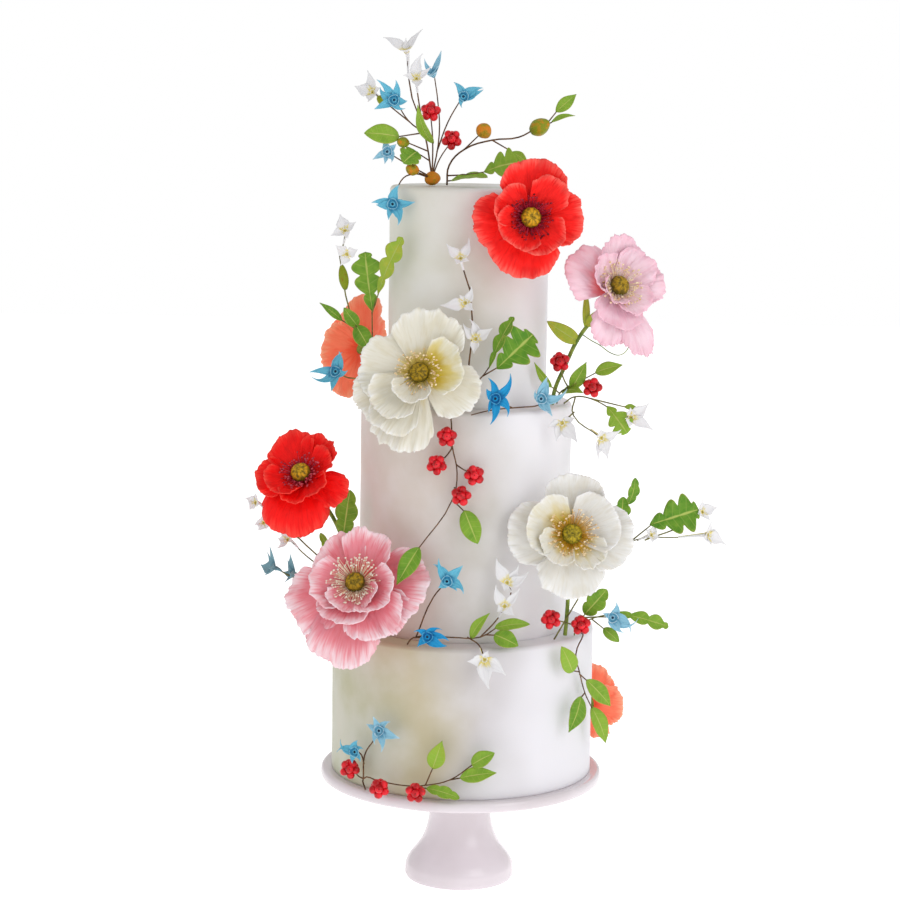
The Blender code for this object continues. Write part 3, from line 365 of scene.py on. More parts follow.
def icing(name, far_left, *washes_and_shade):
    """Rolled icing whose pastel tints and painted shade run from its darker left to its clean right side."""
    look, tree = new_finish(name, 0.62, inner_glow=0.12, sheen=0.35)
    spot = add(tree, "ShaderNodeTexCoord").outputs["Object"]
    side = add(tree, "ShaderNodeSeparateXYZ", {"Vector": spot}).outputs["X"]
    sway = maths(tree, "MULTIPLY_ADD", clouds(tree, 7.0, 2.0), 0.16, side)
    # Painted shade: these colours darken the left of the tier, away from the window, as well as tint it.
    tone = far_left
    for (low, high), wash_and_shade in zip(WASH_AND_SHADE_EDGES, washes_and_shade):
        tone = blend(tree, ramp(tree, sway, low, high), tone, wash_and_shade)
    tone = blend(tree, ramp(tree, clouds(tree, 16.0, 4.0), 0.35, 0.7, 0.0, 0.35), tone, washes_and_shade[-1])
    height = maths(tree, "MULTIPLY_ADD", clouds(tree, 30.0, 1.0), 6.0, clouds(tree, 900.0, 3.0))
    return dressed(look, tone, height, 0.12, 0.5)


def tier(name, radius, bottom, top, *washes_and_shade):
    """One iced tier: the side leans in by a hair at the foot, and the top edge is a soft round."""
    outline = [(0, bottom), (radius - 0.35, bottom), (radius - 0.1, bottom + 0.35), (radius, bottom + 2.5)]
    outline += [(radius, bottom + (top - bottom) * step / 12) for step in range(1, 12)]
    for step in range(9):
        angle = math.pi / 2 * step / 8
        inwards, down = ICING_EDGE * (1 - math.cos(angle)), ICING_EDGE * (1 - math.sin(angle))
        outline.append((radius - inwards, top - down))
    outline += [(radius * share, top) for share in (0.85, 0.6, 0.3, 0)]
    piece = turned("icing_" + name, outline, icing("icing_" + name, *washes_and_shade))
    for corner in piece.data.vertices:
        flat = Vector((corner.co.x, corner.co.y, 0))
        if flat.length > 0.5 * radius * MM:
            corner.co += flat.normalized() * (noise(corner.co * 22) * HAND_UNEVENNESS * MM)
    place(piece, "tier_" + name)


# Each tier's colours run from its far left, tinted and darkened with painted shade, to its clean right side.
tier("bottom", BOTTOM_RADIUS, STAND_HEIGHT + GAP, BOTTOM_TIER_TOP,
     (180, 182, 152), (194, 184, 154), (200, 195, 197), (228, 226, 231))
tier("middle", MIDDLE_RADIUS, BOTTOM_TIER_TOP + GAP, MIDDLE_TIER_TOP,
     (214, 204, 194), (208, 198, 188), (200, 196, 190), (234, 232, 236))
tier("top", TOP_RADIUS, MIDDLE_TIER_TOP + GAP, TOP_TIER_TOP,
     (218, 222, 212), (218, 216, 204), (204, 199, 186), (236, 236, 240))


# Poppies: large open flowers made of thin rolled sugar paste. Each petal is veined, ruffled at
# its rim and dusted with colour, with painted shade in its veins and folds, then wired round a seed
# pod and a ring of cut stamens.

PETAL_ROOT = 4.0
PETAL_ROWS = 24
PETAL_COLUMNS = 60
PETAL_FOOT_SPREAD = 1.18
HEART_DEPTH = 7.0
HEART_FRONT = 2.6
HEART_FLOOR = HEART_FRONT + 0.6
POD_RADIUS = 9.2
POD_RIBS = 11
PETAL_WALL = 0.6
LEAF_WALL = 0.5
CORAL_GLOW = 0.12
STEM_RADIUS = 1.9
FILAMENT_RADIUS = 0.28
FILAMENT_TIP = 0.20
TOWARDS_FRONT = (0.0, -1.0, 0.0)


def petal_rows(directions, centre, seed, angle, spread, length, rise, curl, ruffle, level, frill, fold):
    """One broad petal, a fan that lifts towards its rim, crumpled like crepe, with a ragged edge."""
    rows = []
    for row in range(PETAL_ROWS + 1):
        share = row / PETAL_ROWS
        points = []
        for column in range(PETAL_COLUMNS + 1):
            across = 2 * column / PETAL_COLUMNS - 1
            opening = PETAL_FOOT_SPREAD + (1 - PETAL_FOOT_SPREAD) * share
            out, aside = around(directions, math.radians(angle + across * spread / 2 * opening))
            notch = abs(noise((across * 2.6, seed * 3.7, 0.4))) * 0.09 * frill
            notch += abs(noise((across * 12.0, seed * 1.3, 2.1))) * 0.045 * frill
            reach = length * (1.02 - 0.25 * abs(across) ** 2.9 - notch)
            distance = PETAL_ROOT + (reach - PETAL_ROOT) * share
            height = level + rise * share ** 1.7 - curl * max(0.0, share - 0.6) ** 2 / 0.16
            height += ruffle * share ** 2 * math.sin(4.0 * across + angle)
            height += fold * 4.6 * noise((across * 1.5 + seed * 3.3, share * 1.4, seed)) * share
            lean = across * 3.0 + seed * 9.1 + noise((share * 2.1, seed, 5.5)) * 1.3
            ridge = abs(noise((lean, share * 1.6, seed)))
            height += fold * 3.4 * (0.28 - ridge) * share ** 1.2
            small = abs(noise((across * 7.0 + seed, share * 5.5, seed * 2.3)))
            height += fold * 1.1 * (0.25 - small) * share ** 0.8
            height += frill * 2.4 * share ** 7 * noise((across * 9.0, seed * 5.1, 7.7))
            sideways = frill * 1.6 * share ** 5 * noise((across * 8.0, seed * 2.9, 3.3))
            points.append(centre + out * distance + directions[2] * height + aside * sideways)
        rows.append(points)
    return rows


def veined_paste():
    """Shader group of dusted sugar petals: veins fan from the root, the rim is paler, and painted shade
    darkens veins and folds.
    """
    group = bpy.data.node_groups.new("veined_paste", "ShaderNodeTree")
    for name in ("Root", "Body", "Rim", "Shadow"):
        group.interface.new_socket(name, in_out="INPUT", socket_type="NodeSocketColor")
    for name in ("Root Reach", "Rim Start", "Painted Shade Strength"):
        group.interface.new_socket(name, in_out="INPUT", socket_type="NodeSocketFloat")
    group.interface.new_socket("Color", in_out="OUTPUT", socket_type="NodeSocketColor")
    group.interface.new_socket("Relief", in_out="OUTPUT", socket_type="NodeSocketFloat")
    given = group.nodes.new("NodeGroupInput").outputs
    along = add(group, "ShaderNodeTexCoord").outputs["UV"]
    share = add(group, "ShaderNodeSeparateXYZ", {"Vector": along}).outputs["Y"]
    tone = tone_value(group)
    shift = add(group, "ShaderNodeCombineXYZ", {"X": tone, "Y": tone, "Z": tone}).outputs[0]
    moved = add(group, "ShaderNodeVectorMath", {0: along, 1: shift}, operation="ADD").outputs[0]
    broad = add(group, "ShaderNodeMapping", {"Vector": moved, "Scale": (6.5, 2.4, 1)}).outputs[0]
    narrow = add(group, "ShaderNodeMapping", {"Vector": moved, "Scale": (44, 3.4, 1)}).outputs[0]
    folds = add(group, "ShaderNodeTexNoise", {"Vector": broad, "Scale": 1.0, "Detail": 2.0}).outputs["Fac"]
    veins = add(group, "ShaderNodeTexNoise", {"Vector": narrow, "Scale": 1.0, "Detail": 3.0}).outputs["Fac"]
    past_root = maths(group, "DIVIDE", share, given["Root Reach"])
    ragged = maths(group, "MULTIPLY_ADD", folds, 0.8, past_root)
    colour = blend(group, ramp(group, ragged, 0.7, 1.5), given["Root"], given["Body"])
    near_rim = maths(group, "SUBTRACT", share, given["Rim Start"])
    wavy_rim = maths(group, "MULTIPLY_ADD", veins, 0.28, near_rim)
    colour = blend(group, ramp(group, wavy_rim, 0.10, 0.42), colour, given["Rim"])
    # Painted shade: the shadow colour darkens the veins and, more strongly, the folds.
    for noisy, low, high, strength in ((veins, 0.48, 0.28, 0.7), (folds, 0.52, 0.32, 0.9)):
        depth = maths(group, "MULTIPLY", ramp(group, noisy, low, high, 0.0, strength), given["Painted Shade Strength"])
        colour = blend(group, depth, colour, given["Shadow"])
    relief = maths(group, "MULTIPLY_ADD", folds, 2.0, veins)
    add(group, "NodeGroupOutput", {"Color": colour, "Relief": relief})
    return group


VEINED_PASTE = veined_paste()


def petal_finish(name, root, body, rim, shadow, root_reach, rim_start, veins, glow, relief=0.45):
    """Petal paste in a flower's own colours, with a painted shadow colour for its veins and folds."""
    look, tree = new_finish(name, 0.62, inner_glow=glow)
    group = add(tree, "ShaderNodeGroup", node_tree=VEINED_PASTE)
    for socket, colour in (("Root", root), ("Body", body), ("Rim", rim), ("Shadow", shadow)):
        group.inputs[socket].default_value = paint(*colour)
    for socket, value in (("Root Reach", root_reach), ("Rim Start", rim_start), ("Painted Shade Strength", veins)):
        group.inputs[socket].default_value = value
    return dressed(look, group.outputs["Color"], group.outputs["Relief"], relief, 0.6)


def mottled_finish(name, light, deep, scale=120.0):
    """Plain paste in two mixed tones, for stems, filaments, pollen and wires."""
    look, tree = new_finish(name, 0.55)
    colour = blend(tree, ramp(tree, clouds(tree, scale, 3.0), 0.36, 0.64), deep, light)
    return dressed(look, colour, clouds(tree, scale * 8, 2.0), 0.2, 0.6)


def pod_finish(name, crown, flank):
    """Seed pod: pale grooves and darker ribs on the domed cap, over a green flank."""
    look, tree = new_finish(name, 0.5)
    across, along = across_and_along(tree)
    cloud = clouds(tree, 300.0, 3.0)
    ribs = maths(tree, "SINE", maths(tree, "MULTIPLY", across, math.tau * POD_RIBS))
    domed = ramp(tree, along, 0.45, 0.6)
    deep = tuple(value * 0.62 for value in flank)
    colour = blend(tree, domed, flank, crown)
    colour = blend(tree, maths(tree, "MULTIPLY", ramp(tree, ribs, 0.1, 1.0, 0.0, 0.42), domed), colour, deep)
    colour = blend(tree, ramp(tree, along, 0.93, 0.99), colour, deep)
    colour = blend(tree, ramp(tree, cloud, 0.60, 0.36, 0.0, 0.8), colour, deep)
    return dressed(look, colour, cloud, 0.35, 0.8)


def stamens(name, centre, directions, filament, anther, count, reach, seed):
    """A ring of fine filaments round the pod, each tipped with a grain of pollen."""
    forward = directions[2]
    chance = random.Random(seed)
    lines = []
    tips = []
    for index in range(count):
        out, aside = around(directions, math.tau * (index + chance.uniform(-0.4, 0.4)) / count)
        far = reach * chance.uniform(0.52, 1.0)
        high = HEART_FLOOR + far * chance.uniform(0.30, 0.70)
        bend = aside * chance.uniform(-2.0, 2.0)
        base = centre + out * chance.uniform(5.0, 6.4) + forward * (HEART_FLOOR - 0.4)
        half_high = HEART_FLOOR + (high - HEART_FLOOR) * 0.62
        middle = centre + out * far * 0.62 + forward * half_high + bend * 0.5
        tip = centre + out * far + forward * high + bend
        lines.append(([base, middle, tip], FILAMENT_RADIUS, FILAMENT_TIP, 0))
        tips.append((tip, chance.uniform(0.95, 1.45), chance.uniform(0, math.pi)))
    place(strands(name + "_filaments", lines, [filament], sides=4), name + "_centre")
    grains = []
    for tip, size, lean in tips:
        outline = ((0.01, -1.1 * size), (0.62 * size, -0.6 * size), (0.75 * size, 0.1),
                   (0.5 * size, 0.7 * size), (0.01, 1.1 * size))
        grain = ring_rows(tip, axes((math.sin(lean), -math.cos(lean), 0.3)), outline, 6)
        grains.append((grain, chance.random(), 0))
    place(thin_piece(name + "_anthers", grains, 0, [anther]), name + "_centre")


def leaf_body(kind, share):
    """How wide a leaf is at a share of its length: plain, round, lobed or oak."""
    if kind == "oak":
        lobes = 0.36 + 0.64 * abs(math.sin(math.pi * (3.2 * share ** 1.1 + 0.15))) ** 0.6
        return 1.42 * lobes * math.sin(math.pi * share ** 1.35) ** 0.45 * (0.40 + 0.60 * share ** 0.6)
    if kind == "lobed":
        lobes = 0.68 + 0.32 * abs(math.sin(math.pi * (2.5 * share + 0.15))) ** 0.6
        return 1.05 * lobes * math.sin(math.pi * share ** 0.95) ** 0.55
    if kind == "round":
        return math.sin(math.pi * share ** 0.8) ** 0.7
    return math.sin(math.pi * share ** 0.75)


def leaf_rows(base, tip, width, facing=TOWARDS_FRONT, bend=0.12, kind="plain", seed=0.0):
    """A leaf folded along its midrib, with a wavy blade."""
    base, tip = Vector(base), Vector(tip)
    along = tip - base
    length = along.length
    side = along.cross(Vector(facing)).normalized()
    up = side.cross(along).normalized()
    base = base - along * 0.06
    steps, columns = (44, 10) if kind in ("oak", "lobed") else (18, 8)
    rows = []
    for row in range(steps + 1):
        share = row / steps
        half = max(0.12, width / 2 * leaf_body(kind, share))
        middle = base + along * 1.06 * share + up * bend * length * math.sin(math.pi * share)
        points = []
        for column in range(columns + 1):
            across = 2 * column / columns - 1
            lift = abs(across) ** 1.4 * half * 0.22
            wave = noise((across * 1.6 + seed, share * 4.5, seed * 3.1)) * width * 0.07 * abs(across)
            slant = along.normalized() * abs(across) * half * 0.14 * math.sin(math.pi * share)
            points.append(middle + side * across * half + up * (lift + wave) + slant)
        rows.append(points)
    return rows


def leaf_finish():
    """Leaf paste: a pale midrib and side veins, a tone from deep to yellow green per leaf, and a painted
    highlight along the edge.
    """
    look, tree = new_finish("leaf_paste", 0.45, inner_glow=0.08)
    across, along = across_and_along(tree)
    cloud = clouds(tree, 130.0, 3.0)
    mixed = maths(tree, "MULTIPLY_ADD", cloud, 0.5, tone_value(tree))
    body = blend(tree, ramp(tree, mixed, 0.15, 0.75), (70, 128, 30), (136, 172, 54))
    body = blend(tree, ramp(tree, mixed, 0.75, 1.35), body, (190, 176, 56))
    from_rib = maths(tree, "ABSOLUTE", maths(tree, "SUBTRACT", across, 0.5))
    slant = maths(tree, "MULTIPLY_ADD", from_rib, -7.0, 0.0)
    wave = maths(tree, "SINE", maths(tree, "MULTIPLY_ADD", along, 44.0, slant))
    lines = maths(tree, "MAXIMUM", ramp(tree, from_rib, 0.05, 0.015), ramp(tree, wave, 0.86, 1.0, 0.0, 0.25))
    body = blend(tree, lines, body, (170, 186, 92))
    # Painted highlight: a paler yellow green along the leaf's edge.
    body = blend(tree, ramp(tree, from_rib, 0.44, 0.50, 0.0, 0.55), body, (176, 172, 84))
    return dressed(look, body, maths(tree, "MULTIPLY_ADD", lines, -1.0, cloud), 0.35, 0.7)


def poppy(name, centre, facing, petals, pastes, stem, inner, leaves=(), frill=1.0, fold=1.0):
    """A whole flower: broad petals first, then the bowl that stands round the stamens.

    A petal is its angle, spread, length, rise, curl, ruffle and level, and takes the second paste
    if it ends in 1. inner holds the filament, anther and pod finishes, and the stamens' number and reach.
    """
    directions = axes(facing)
    forward = directions[2]
    centre = Vector(centre)
    node = "poppy_" + name
    sheets = []
    for index, row in enumerate(petals):
        seed = index * 1.7 + centre.x * 0.013
        rows = petal_rows(directions, centre, seed, *row[:7], frill, fold)
        sheets.append((rows, (index * 0.37 + 0.2) % 1.0, len(row) - 7))
    looks = [PASTES[paste] for paste in pastes]
    place(thin_piece(node + "_paste", sheets, PETAL_WALL, looks), node + "_petals")
    start = centre - forward * (HEART_DEPTH - 1.5)
    stalk = strands(node + "_stem", [([start, *stem], STEM_RADIUS, STEM_RADIUS, 0)], [STEM_GREEN], sides=12)
    place(stalk, node + "_petals")
    cup = ring_rows(centre, directions, (
        (0.01, -HEART_DEPTH - 0.5), (2.4, -HEART_DEPTH), (4.6, -HEART_DEPTH + 2.2), (6.4, -2.4), (7.0, 0.4),
        (5.8, HEART_FRONT - 0.6), (0.01, HEART_FRONT),
    ), 24)
    place(thin_piece(node + "_calyx", [(cup, 0.4, 0)], 0, [STEM_GREEN]), node + "_petals")
    if leaves:
        blades = [(leaf_rows(base, tip, width, kind="round", seed=index), 0.75, 0)
                  for index, (base, tip, width) in enumerate(leaves)]
        place(thin_piece(node + "_leaves", blades, LEAF_WALL, [LEAF_PASTE]), node + "_petals")
    filament, anther, pod, count, reach = inner
    stamens(node, centre, directions, filament, anther, count, reach, len(name) + count)
    dome = ring_rows(centre + forward * HEART_FLOOR, directions, smooth_outline([
        (0.01, 0.0), (5.2, 0.0), (7.8, 2.2), (POD_RADIUS, 5.0), (POD_RADIUS - 0.1, 7.0),
        (POD_RADIUS - 1.1, 9.0), (6.0, 10.9), (3.2, 11.9), (1.5, 11.7), (0.01, 10.8),
    ], 3), 66, ribs=POD_RIBS, relief=0.025)
    place(thin_piece(node + "_pod", [(dome, 0.5, 0)], 0, [pod]), node + "_centre")


# A paste's colours are its root, body, rim and painted shadow. The numbers are how far the root's
# colour reaches, where the rim starts, how strong the painted shade in the veins and folds is, how far
# light sinks in, and the relief.

PASTES = {name: petal_finish(name + "_paste", *values) for name, *values in (
    ("red", (132, 4, 34), (255, 34, 30), (255, 116, 104), (196, 2, 10), 0.44, 0.84, 0.5, 0.1),
    ("deep_red", (150, 2, 24), (250, 16, 14), (255, 84, 70), (180, 0, 4), 0.36, 0.86, 0.35, 0.1),
    ("blush", (238, 184, 180), (244, 210, 222), (242, 190, 206), (232, 172, 190), 0.38, 0.8, 0.4, 0.2),
    ("blush_heart", (240, 84, 80), (244, 206, 218), (242, 184, 202), (232, 164, 182), 0.62, 0.84, 0.4, 0.2),
    ("pink", (238, 96, 98), (235, 142, 154), (248, 220, 227), (226, 104, 118), 0.54, 0.74, 0.5, 0.2),
    ("cream", (214, 186, 66), (224, 220, 206), (246, 245, 243), (206, 196, 166), 0.4, 0.86, 0.4, 0.2),
    ("cream_heart", (214, 186, 8), (226, 222, 204), (246, 245, 243), (214, 202, 140), 0.95, 0.92, 0.4, 0.2),
    ("pearl", (222, 190, 96), (226, 224, 219), (244, 243, 244), (210, 202, 182), 0.42, 0.86, 0.4, 0.2),
    ("pearl_heart", (216, 186, 20), (226, 223, 212), (244, 243, 244), (214, 204, 164), 0.75, 0.9, 0.4, 0.2),
    ("coral", (244, 84, 52), (255, 130, 98), (255, 176, 144), (244, 88, 62), 0.42, 0.78, 0.35, 0.15),
    ("blue", (40, 122, 164), (100, 182, 208), (158, 208, 226), (60, 142, 178), 0.35, 0.78, 0.5, 0.1, 0.1),
    ("grey_blue", (84, 148, 178), (140, 192, 214), (188, 216, 230), (96, 158, 190), 0.35, 0.72, 0.5, 0.1,
     0.1),
    ("sharp_blue", (10, 92, 152), (30, 150, 205), (104, 186, 218), (10, 104, 168), 0.35, 0.84, 0.5, 0.1,
     0.1),
    ("white_blossom", (230, 212, 110), (230, 229, 231), (236, 235, 237), (212, 210, 214), 0.24, 0.8, 0.4,
     0.1, 0.1),
    ("slate_blossom", (84, 126, 142), (122, 162, 174), (150, 184, 194), (90, 130, 146), 0.35, 0.8, 0.5, 0.1,
     0.1),
)}
# Painted light: the coral paste glows faintly, standing in for light that shines through its thin petals.
coral_inputs = shader_inputs(PASTES["coral"])
coral_inputs["Emission Color"].default_value = paint(255, 110, 80)
coral_inputs["Emission Strength"].default_value = CORAL_GLOW
LEAF_PASTE = leaf_finish()
STEM_GREEN = mottled_finish("poppy_stem", (142, 160, 70), (96, 122, 48))
MAROON = mottled_finish("maroon_filament", (188, 40, 70), (112, 10, 34))
CRIMSON = mottled_finish("crimson_filament", (206, 60, 84), (150, 20, 44))
CREAM = mottled_finish("cream_filament", (246, 232, 208), (226, 196, 160))
YELLOW = mottled_finish("yellow_filament", (222, 200, 108), (190, 160, 62))
GOLD = mottled_finish("gold_filament", (226, 176, 62), (196, 136, 34))
WHITE_GRAIN = mottled_finish("white_anther", (250, 244, 232), (228, 214, 190), scale=300)
DARK_GRAIN = mottled_finish("dark_anther", (176, 44, 64), (96, 12, 28), scale=300)
ROSE_GRAIN = mottled_finish("rose_anther", (216, 90, 104), (158, 34, 54), scale=300)
CREAM_GRAIN = mottled_finish("cream_anther", (250, 232, 196), (224, 190, 140), scale=300)
GOLDEN_POD = pod_finish("golden_pod", (214, 164, 28), (134, 118, 24))
OLIVE_POD = pod_finish("olive_pod", (172, 138, 26), (108, 98, 22))
GREEN_POD = pod_finish("green_pod", (182, 158, 34), (120, 118, 28))

poppy("red_top", (54.5, -90, 654.5), (0.16, -0.97, 0.16), [
    (86, 100, 54, 15, 3, 2.5, 1), (358, 88, 49, 15, 2, 2, 0), (255, 112, 56, 9, 4, 2, -1),
    (184, 76, 54, 8, 4, 2, -0.5), (222, 128, 35, 23, 2, 1.5, 1.8), (152, 96, 38, 20, 0, 1.5, 1.2),
    (298, 120, 37, 22, 3, 2.5, 1.4), (52, 76, 42, 22, 4, 3, 0.8),
], ["red"], [(52, -80, 652), (48, -68, 648), (44, -63, 646)],
    (MAROON, DARK_GRAIN, GOLDEN_POD, 110, 22))

poppy("blush", (136, -74, 590), (0.42, -0.8, 0.4), [
    (146, 98, 54, 6, 8, 2, -1, 1), (76, 84, 48, 16, 2, 2.5, 0), (8, 84, 47, 17, 3, 2, 0.6),
    (286, 40, 70, 8, 10, 3, -0.5), (250, 60, 56, 6, 10, 2, -1), (215, 100, 27, 20, 0, 1, 1.8),
    (152, 100, 35, 23, 0, 1.5, 1.2), (300, 110, 34, 18, 4, 2.5, 1.4), (256, 100, 45, 13, 3, 2.5, 0.4),
    (40, 96, 40, 21, 3, 2.5, 1),
], ["blush", "blush_heart"],
    [(121, -54, 565), (104, -46, 540), (92, -40, 512), (84, -36, 492), (81, -34, 476)],
    (CREAM, CREAM_GRAIN, OLIVE_POD, 104, 23), frill=1.4,
    leaves=[((103, -45, 538), (74, -56, 557), 15), ((111, -49, 552), (110, -56, 586), 7),
            ((112, -52, 554), (130, -66, 573), 11)])

loop = [(108, -45, 544), (116, -49, 539), (124, -52, 535), (135, -58, 528), (143, -62, 527), (150, -66, 534),
        (152, -68, 548)]
wire = strands("poppy_blush_loop_wire", [(loop, 0.5, 0.4, 0)], [STEM_GREEN])
place(wire, "poppy_blush_petals")

poppy("white_left", (-43, -113, 512), (-0.12, -0.95, 0.26), [
    (78, 98, 60, 16, 2, 2, 0.5), (172, 92, 58, 12, 4, 2, 0), (334, 78, 59, 4, 3, 2, -1.2),
    (14, 108, 43, 20, 1, 1.5, 1.6, 1), (252, 68, 75, 5, 3, 3, -0.8), (256, 104, 31, 24, 0, 2, 2),
    (226, 78, 52, 20, 0, 3, 0.9), (240, 62, 64, 15, 2, 3.5, 0.2), (212, 66, 66, 9, 3, 3, -0.4),
], ["cream", "cream_heart"], [(-41, -100, 508), (-36, -84, 504), (-32, -71, 502)],
    (YELLOW, CREAM_GRAIN, OLIVE_POD, 110, 22), frill=1.2, fold=0.55)

poppy("red_left", (-153, -70, 408), (-0.22, -0.76, 0.61), [
    (122, 92, 43, 15, 2, 2, 0.5), (58, 84, 42, 16, 2, 2, 0), (196, 80, 43, 14, 3, 2, 0.4),
    (338, 64, 48, 6, 8, 2.5, -1), (268, 104, 58, 6, 14, 2.5, -1.4), (296, 116, 38, 20, 3, 1.5, 1.6),
    (232, 104, 34, 22, 1, 2, 1.4), (24, 80, 34, 18, 2, 2.5, 1),
], ["deep_red"],
    [(-138, -52, 385), (-122, -44, 358), (-110, -40, 320), (-105, -38, 285), (-104, -38, 259)],
    (CRIMSON, ROSE_GRAIN, GOLDEN_POD, 92, 19.5))

poppy("pink", (-99, -112, 314), (-0.22, -0.86, 0.46), [
    (128, 96, 50, 15, 3, 2, 0.4), (74, 84, 52, 17, 2, 2.5, 0.8), (4, 84, 70, 8, 4, 2.5, -1.2),
    (318, 72, 64, 10, 6, 2.5, -0.4), (262, 76, 80, 8, 10, 3, -1), (208, 84, 70, 9, 5, 2.5, -0.6),
    (280, 150, 33, 22, 1, 1.5, 2), (196, 112, 41, 22, 1, 2, 1.6), (252, 112, 45, 19, 2, 3, 1.2),
    (338, 104, 43, 24, 1, 3, 1.4), (306, 84, 62, 16, 5, 4, 0),
], ["pink"], [(-94, -98, 306), (-84, -86, 300), (-74, -74, 298)],
    (CREAM, WHITE_GRAIN, OLIVE_POD, 150, 26), frill=1.3, fold=0.7)

poppy("white_right", (99, -100, 362), (0.06, -0.96, 0.26), [
    (86, 88, 56, 16, 2, 2, 0.4), (352, 92, 58, 14, 3, 2, 0), (268, 92, 60, 7, 3, 2, -1.2),
    (178, 88, 60, 10, 4, 2, -0.6), (220, 104, 34, 22, 1, 1.5, 1.8, 1), (312, 80, 38, 18, 1, 1.5, 1.2, 1),
    (160, 120, 44, 23, 1, 2, 1.2, 1), (26, 116, 46, 21, 2, 2.5, 1),
], ["pearl", "pearl_heart"],
    [(100, -84, 340), (99, -75, 305), (98, -69, 275), (97, -66, 259)],
    (GOLD, CREAM_GRAIN, GREEN_POD, 120, 24), frill=1.1, fold=0.5)

poppy("coral_left", (-104, 38, 520), (-0.76, 0.6, 0.25), [
    (90, 100, 52, 12, 3, 2, 0.4), (185, 100, 52, 12, 3, 2, 0), (270, 92, 54, 8, 6, 2, -0.8),
    (0, 88, 50, 12, 3, 2, -0.4), (48, 100, 38, 17, 1, 2, 1), (140, 100, 38, 17, 1, 2, 1.2),
    (230, 100, 38, 17, 1, 2, 1), (318, 100, 38, 17, 1, 2, 1.2),
], ["coral"], [(-94, 30, 512), (-88, 24, 498), (-86, 20, 477)],
    (GOLD, CREAM_GRAIN, GREEN_POD, 64, 16.5))

poppy("coral_right", (129, 62, 162), (0.76, 0.64, 0.12), [
    (88, 100, 40, 10, 2, 2, 0.4), (180, 92, 40, 10, 2, 2, 0), (268, 92, 40, 9, 3, 2, -0.6),
    (0, 92, 40, 10, 2, 2, -0.2), (40, 100, 30, 14, 1, 2, 1), (135, 100, 30, 14, 1, 2, 1.2),
    (225, 100, 30, 14, 1, 2, 1), (315, 100, 30, 14, 1, 2, 1.2),
], ["coral"], [(121, 56, 161), (116, 55, 160.5)], (GOLD, CREAM_GRAIN, GREEN_POD, 56, 15.5))


# Blue blossoms: small flowers cut from thin paste, with curling pointed petals round a short
# tube, dusted blue so that the tips stay pale and the throat is dark. Each sits on its own wire.

STAR_DEPTH = 4.0
STAR_WIDTH = 4.1
STAR_TWIST = 1.4
STAR_WALL = 0.45
STAR_PETAL = (0.80, 1.0, 0.96, 0.78, 0.52, 0.26, 0.04)
POINTED_ROWS = 14


def blossom_rows(centre, facing, petals, cup, width, seed, outline, twist, look=0):
    """Pointed petals round a centre, each given by its angle in degrees and its length."""
    directions = axes(facing)
    forward = directions[2]
    centre = Vector(centre)
    sheets = []
    for index, (angle, length) in enumerate(petals):
        rows = []
        half_width = width * (0.55 + 0.45 * min(1.2, length / 18))
        half_width *= 1 + 0.5 * noise((seed, 5.2, index * 2.3))
        bow = noise((seed, index * 1.9, 0.5)) * twist
        roll = noise((seed * 1.7, index * 2.9, 4.1)) * twist
        lift = noise((seed * 2.3, index * 2.7, 1.5)) * length * 0.5
        for step in range(POINTED_ROWS + 1):
            share = step / POINTED_ROWS
            out, aside = around(directions, math.radians(angle) + bow * share ** 2)
            aside = aside * math.cos(roll * share) + forward * math.sin(roll * share)
            spot = share * (len(outline) - 1)
            low = min(int(spot), len(outline) - 2)
            half = half_width * (outline[low] + (outline[low + 1] - outline[low]) * (spot - low))
            half *= 1 + 0.10 * noise((share * 9.0, index * 3.1, seed))
            height = -0.4 + length * cup * share ** 1.2 + lift * share ** 3
            middle = centre + out * (0.9 + (length - 0.9) * share) + forward * height
            rows.append([
                middle + aside * across * half + forward * (abs(across) ** 1.6 * half * 0.42)
                for across in (-1, -0.66, -0.33, 0, 0.33, 0.66, 1)
            ])
        sheets.append((rows, noise((index * 3.3, seed, 2.2)) * 0.5 + 0.5, look))
    return sheets


DARK_THROAT = mottled_finish("dark_throat", (30, 60, 92), (10, 24, 44), scale=400)


def blue_blossom(name, paste, centre, facing, *petals, cup=0.22):
    directions = axes(facing)
    seed = centre[0] * 0.11 + centre[2] * 0.017
    centre = Vector(centre)
    node = "blossom_blue_" + name
    sheets = blossom_rows(centre, facing, petals, cup, STAR_WIDTH, seed, STAR_PETAL, STAR_TWIST)
    tube = ring_rows(centre, directions, (
        (0.9, -STAR_DEPTH + 0.4), (2.0, -2.4), (3.4, -0.8), (4.4, 0.6), (5.0, 2.0),
    ), 20, ribs=3, relief=0.07, phase=seed)
    well = ring_rows(centre, directions, ((0.01, -1.4), (2.7, -1.2), (3.3, 0.3), (1.4, 0.8), (0.01, 0.9)), 14)
    throat = ring_rows(centre, directions, ((0.01, -0.8), (1.2, -0.6), (1.3, 1.0), (0.01, 1.2)), 12)
    for kind, shapes, wall, look in (
        ("_petals", [*sheets, (tube, 0.3, 0)], STAR_WALL, PASTES[paste]),
        ("_well", [(well, 0.5, 0)], 0, PASTES[paste]),
        ("_throat", [(throat, 0.5, 0)], 0, DARK_THROAT),
    ):
        place(thin_piece(node + kind, shapes, wall, [look]), node)


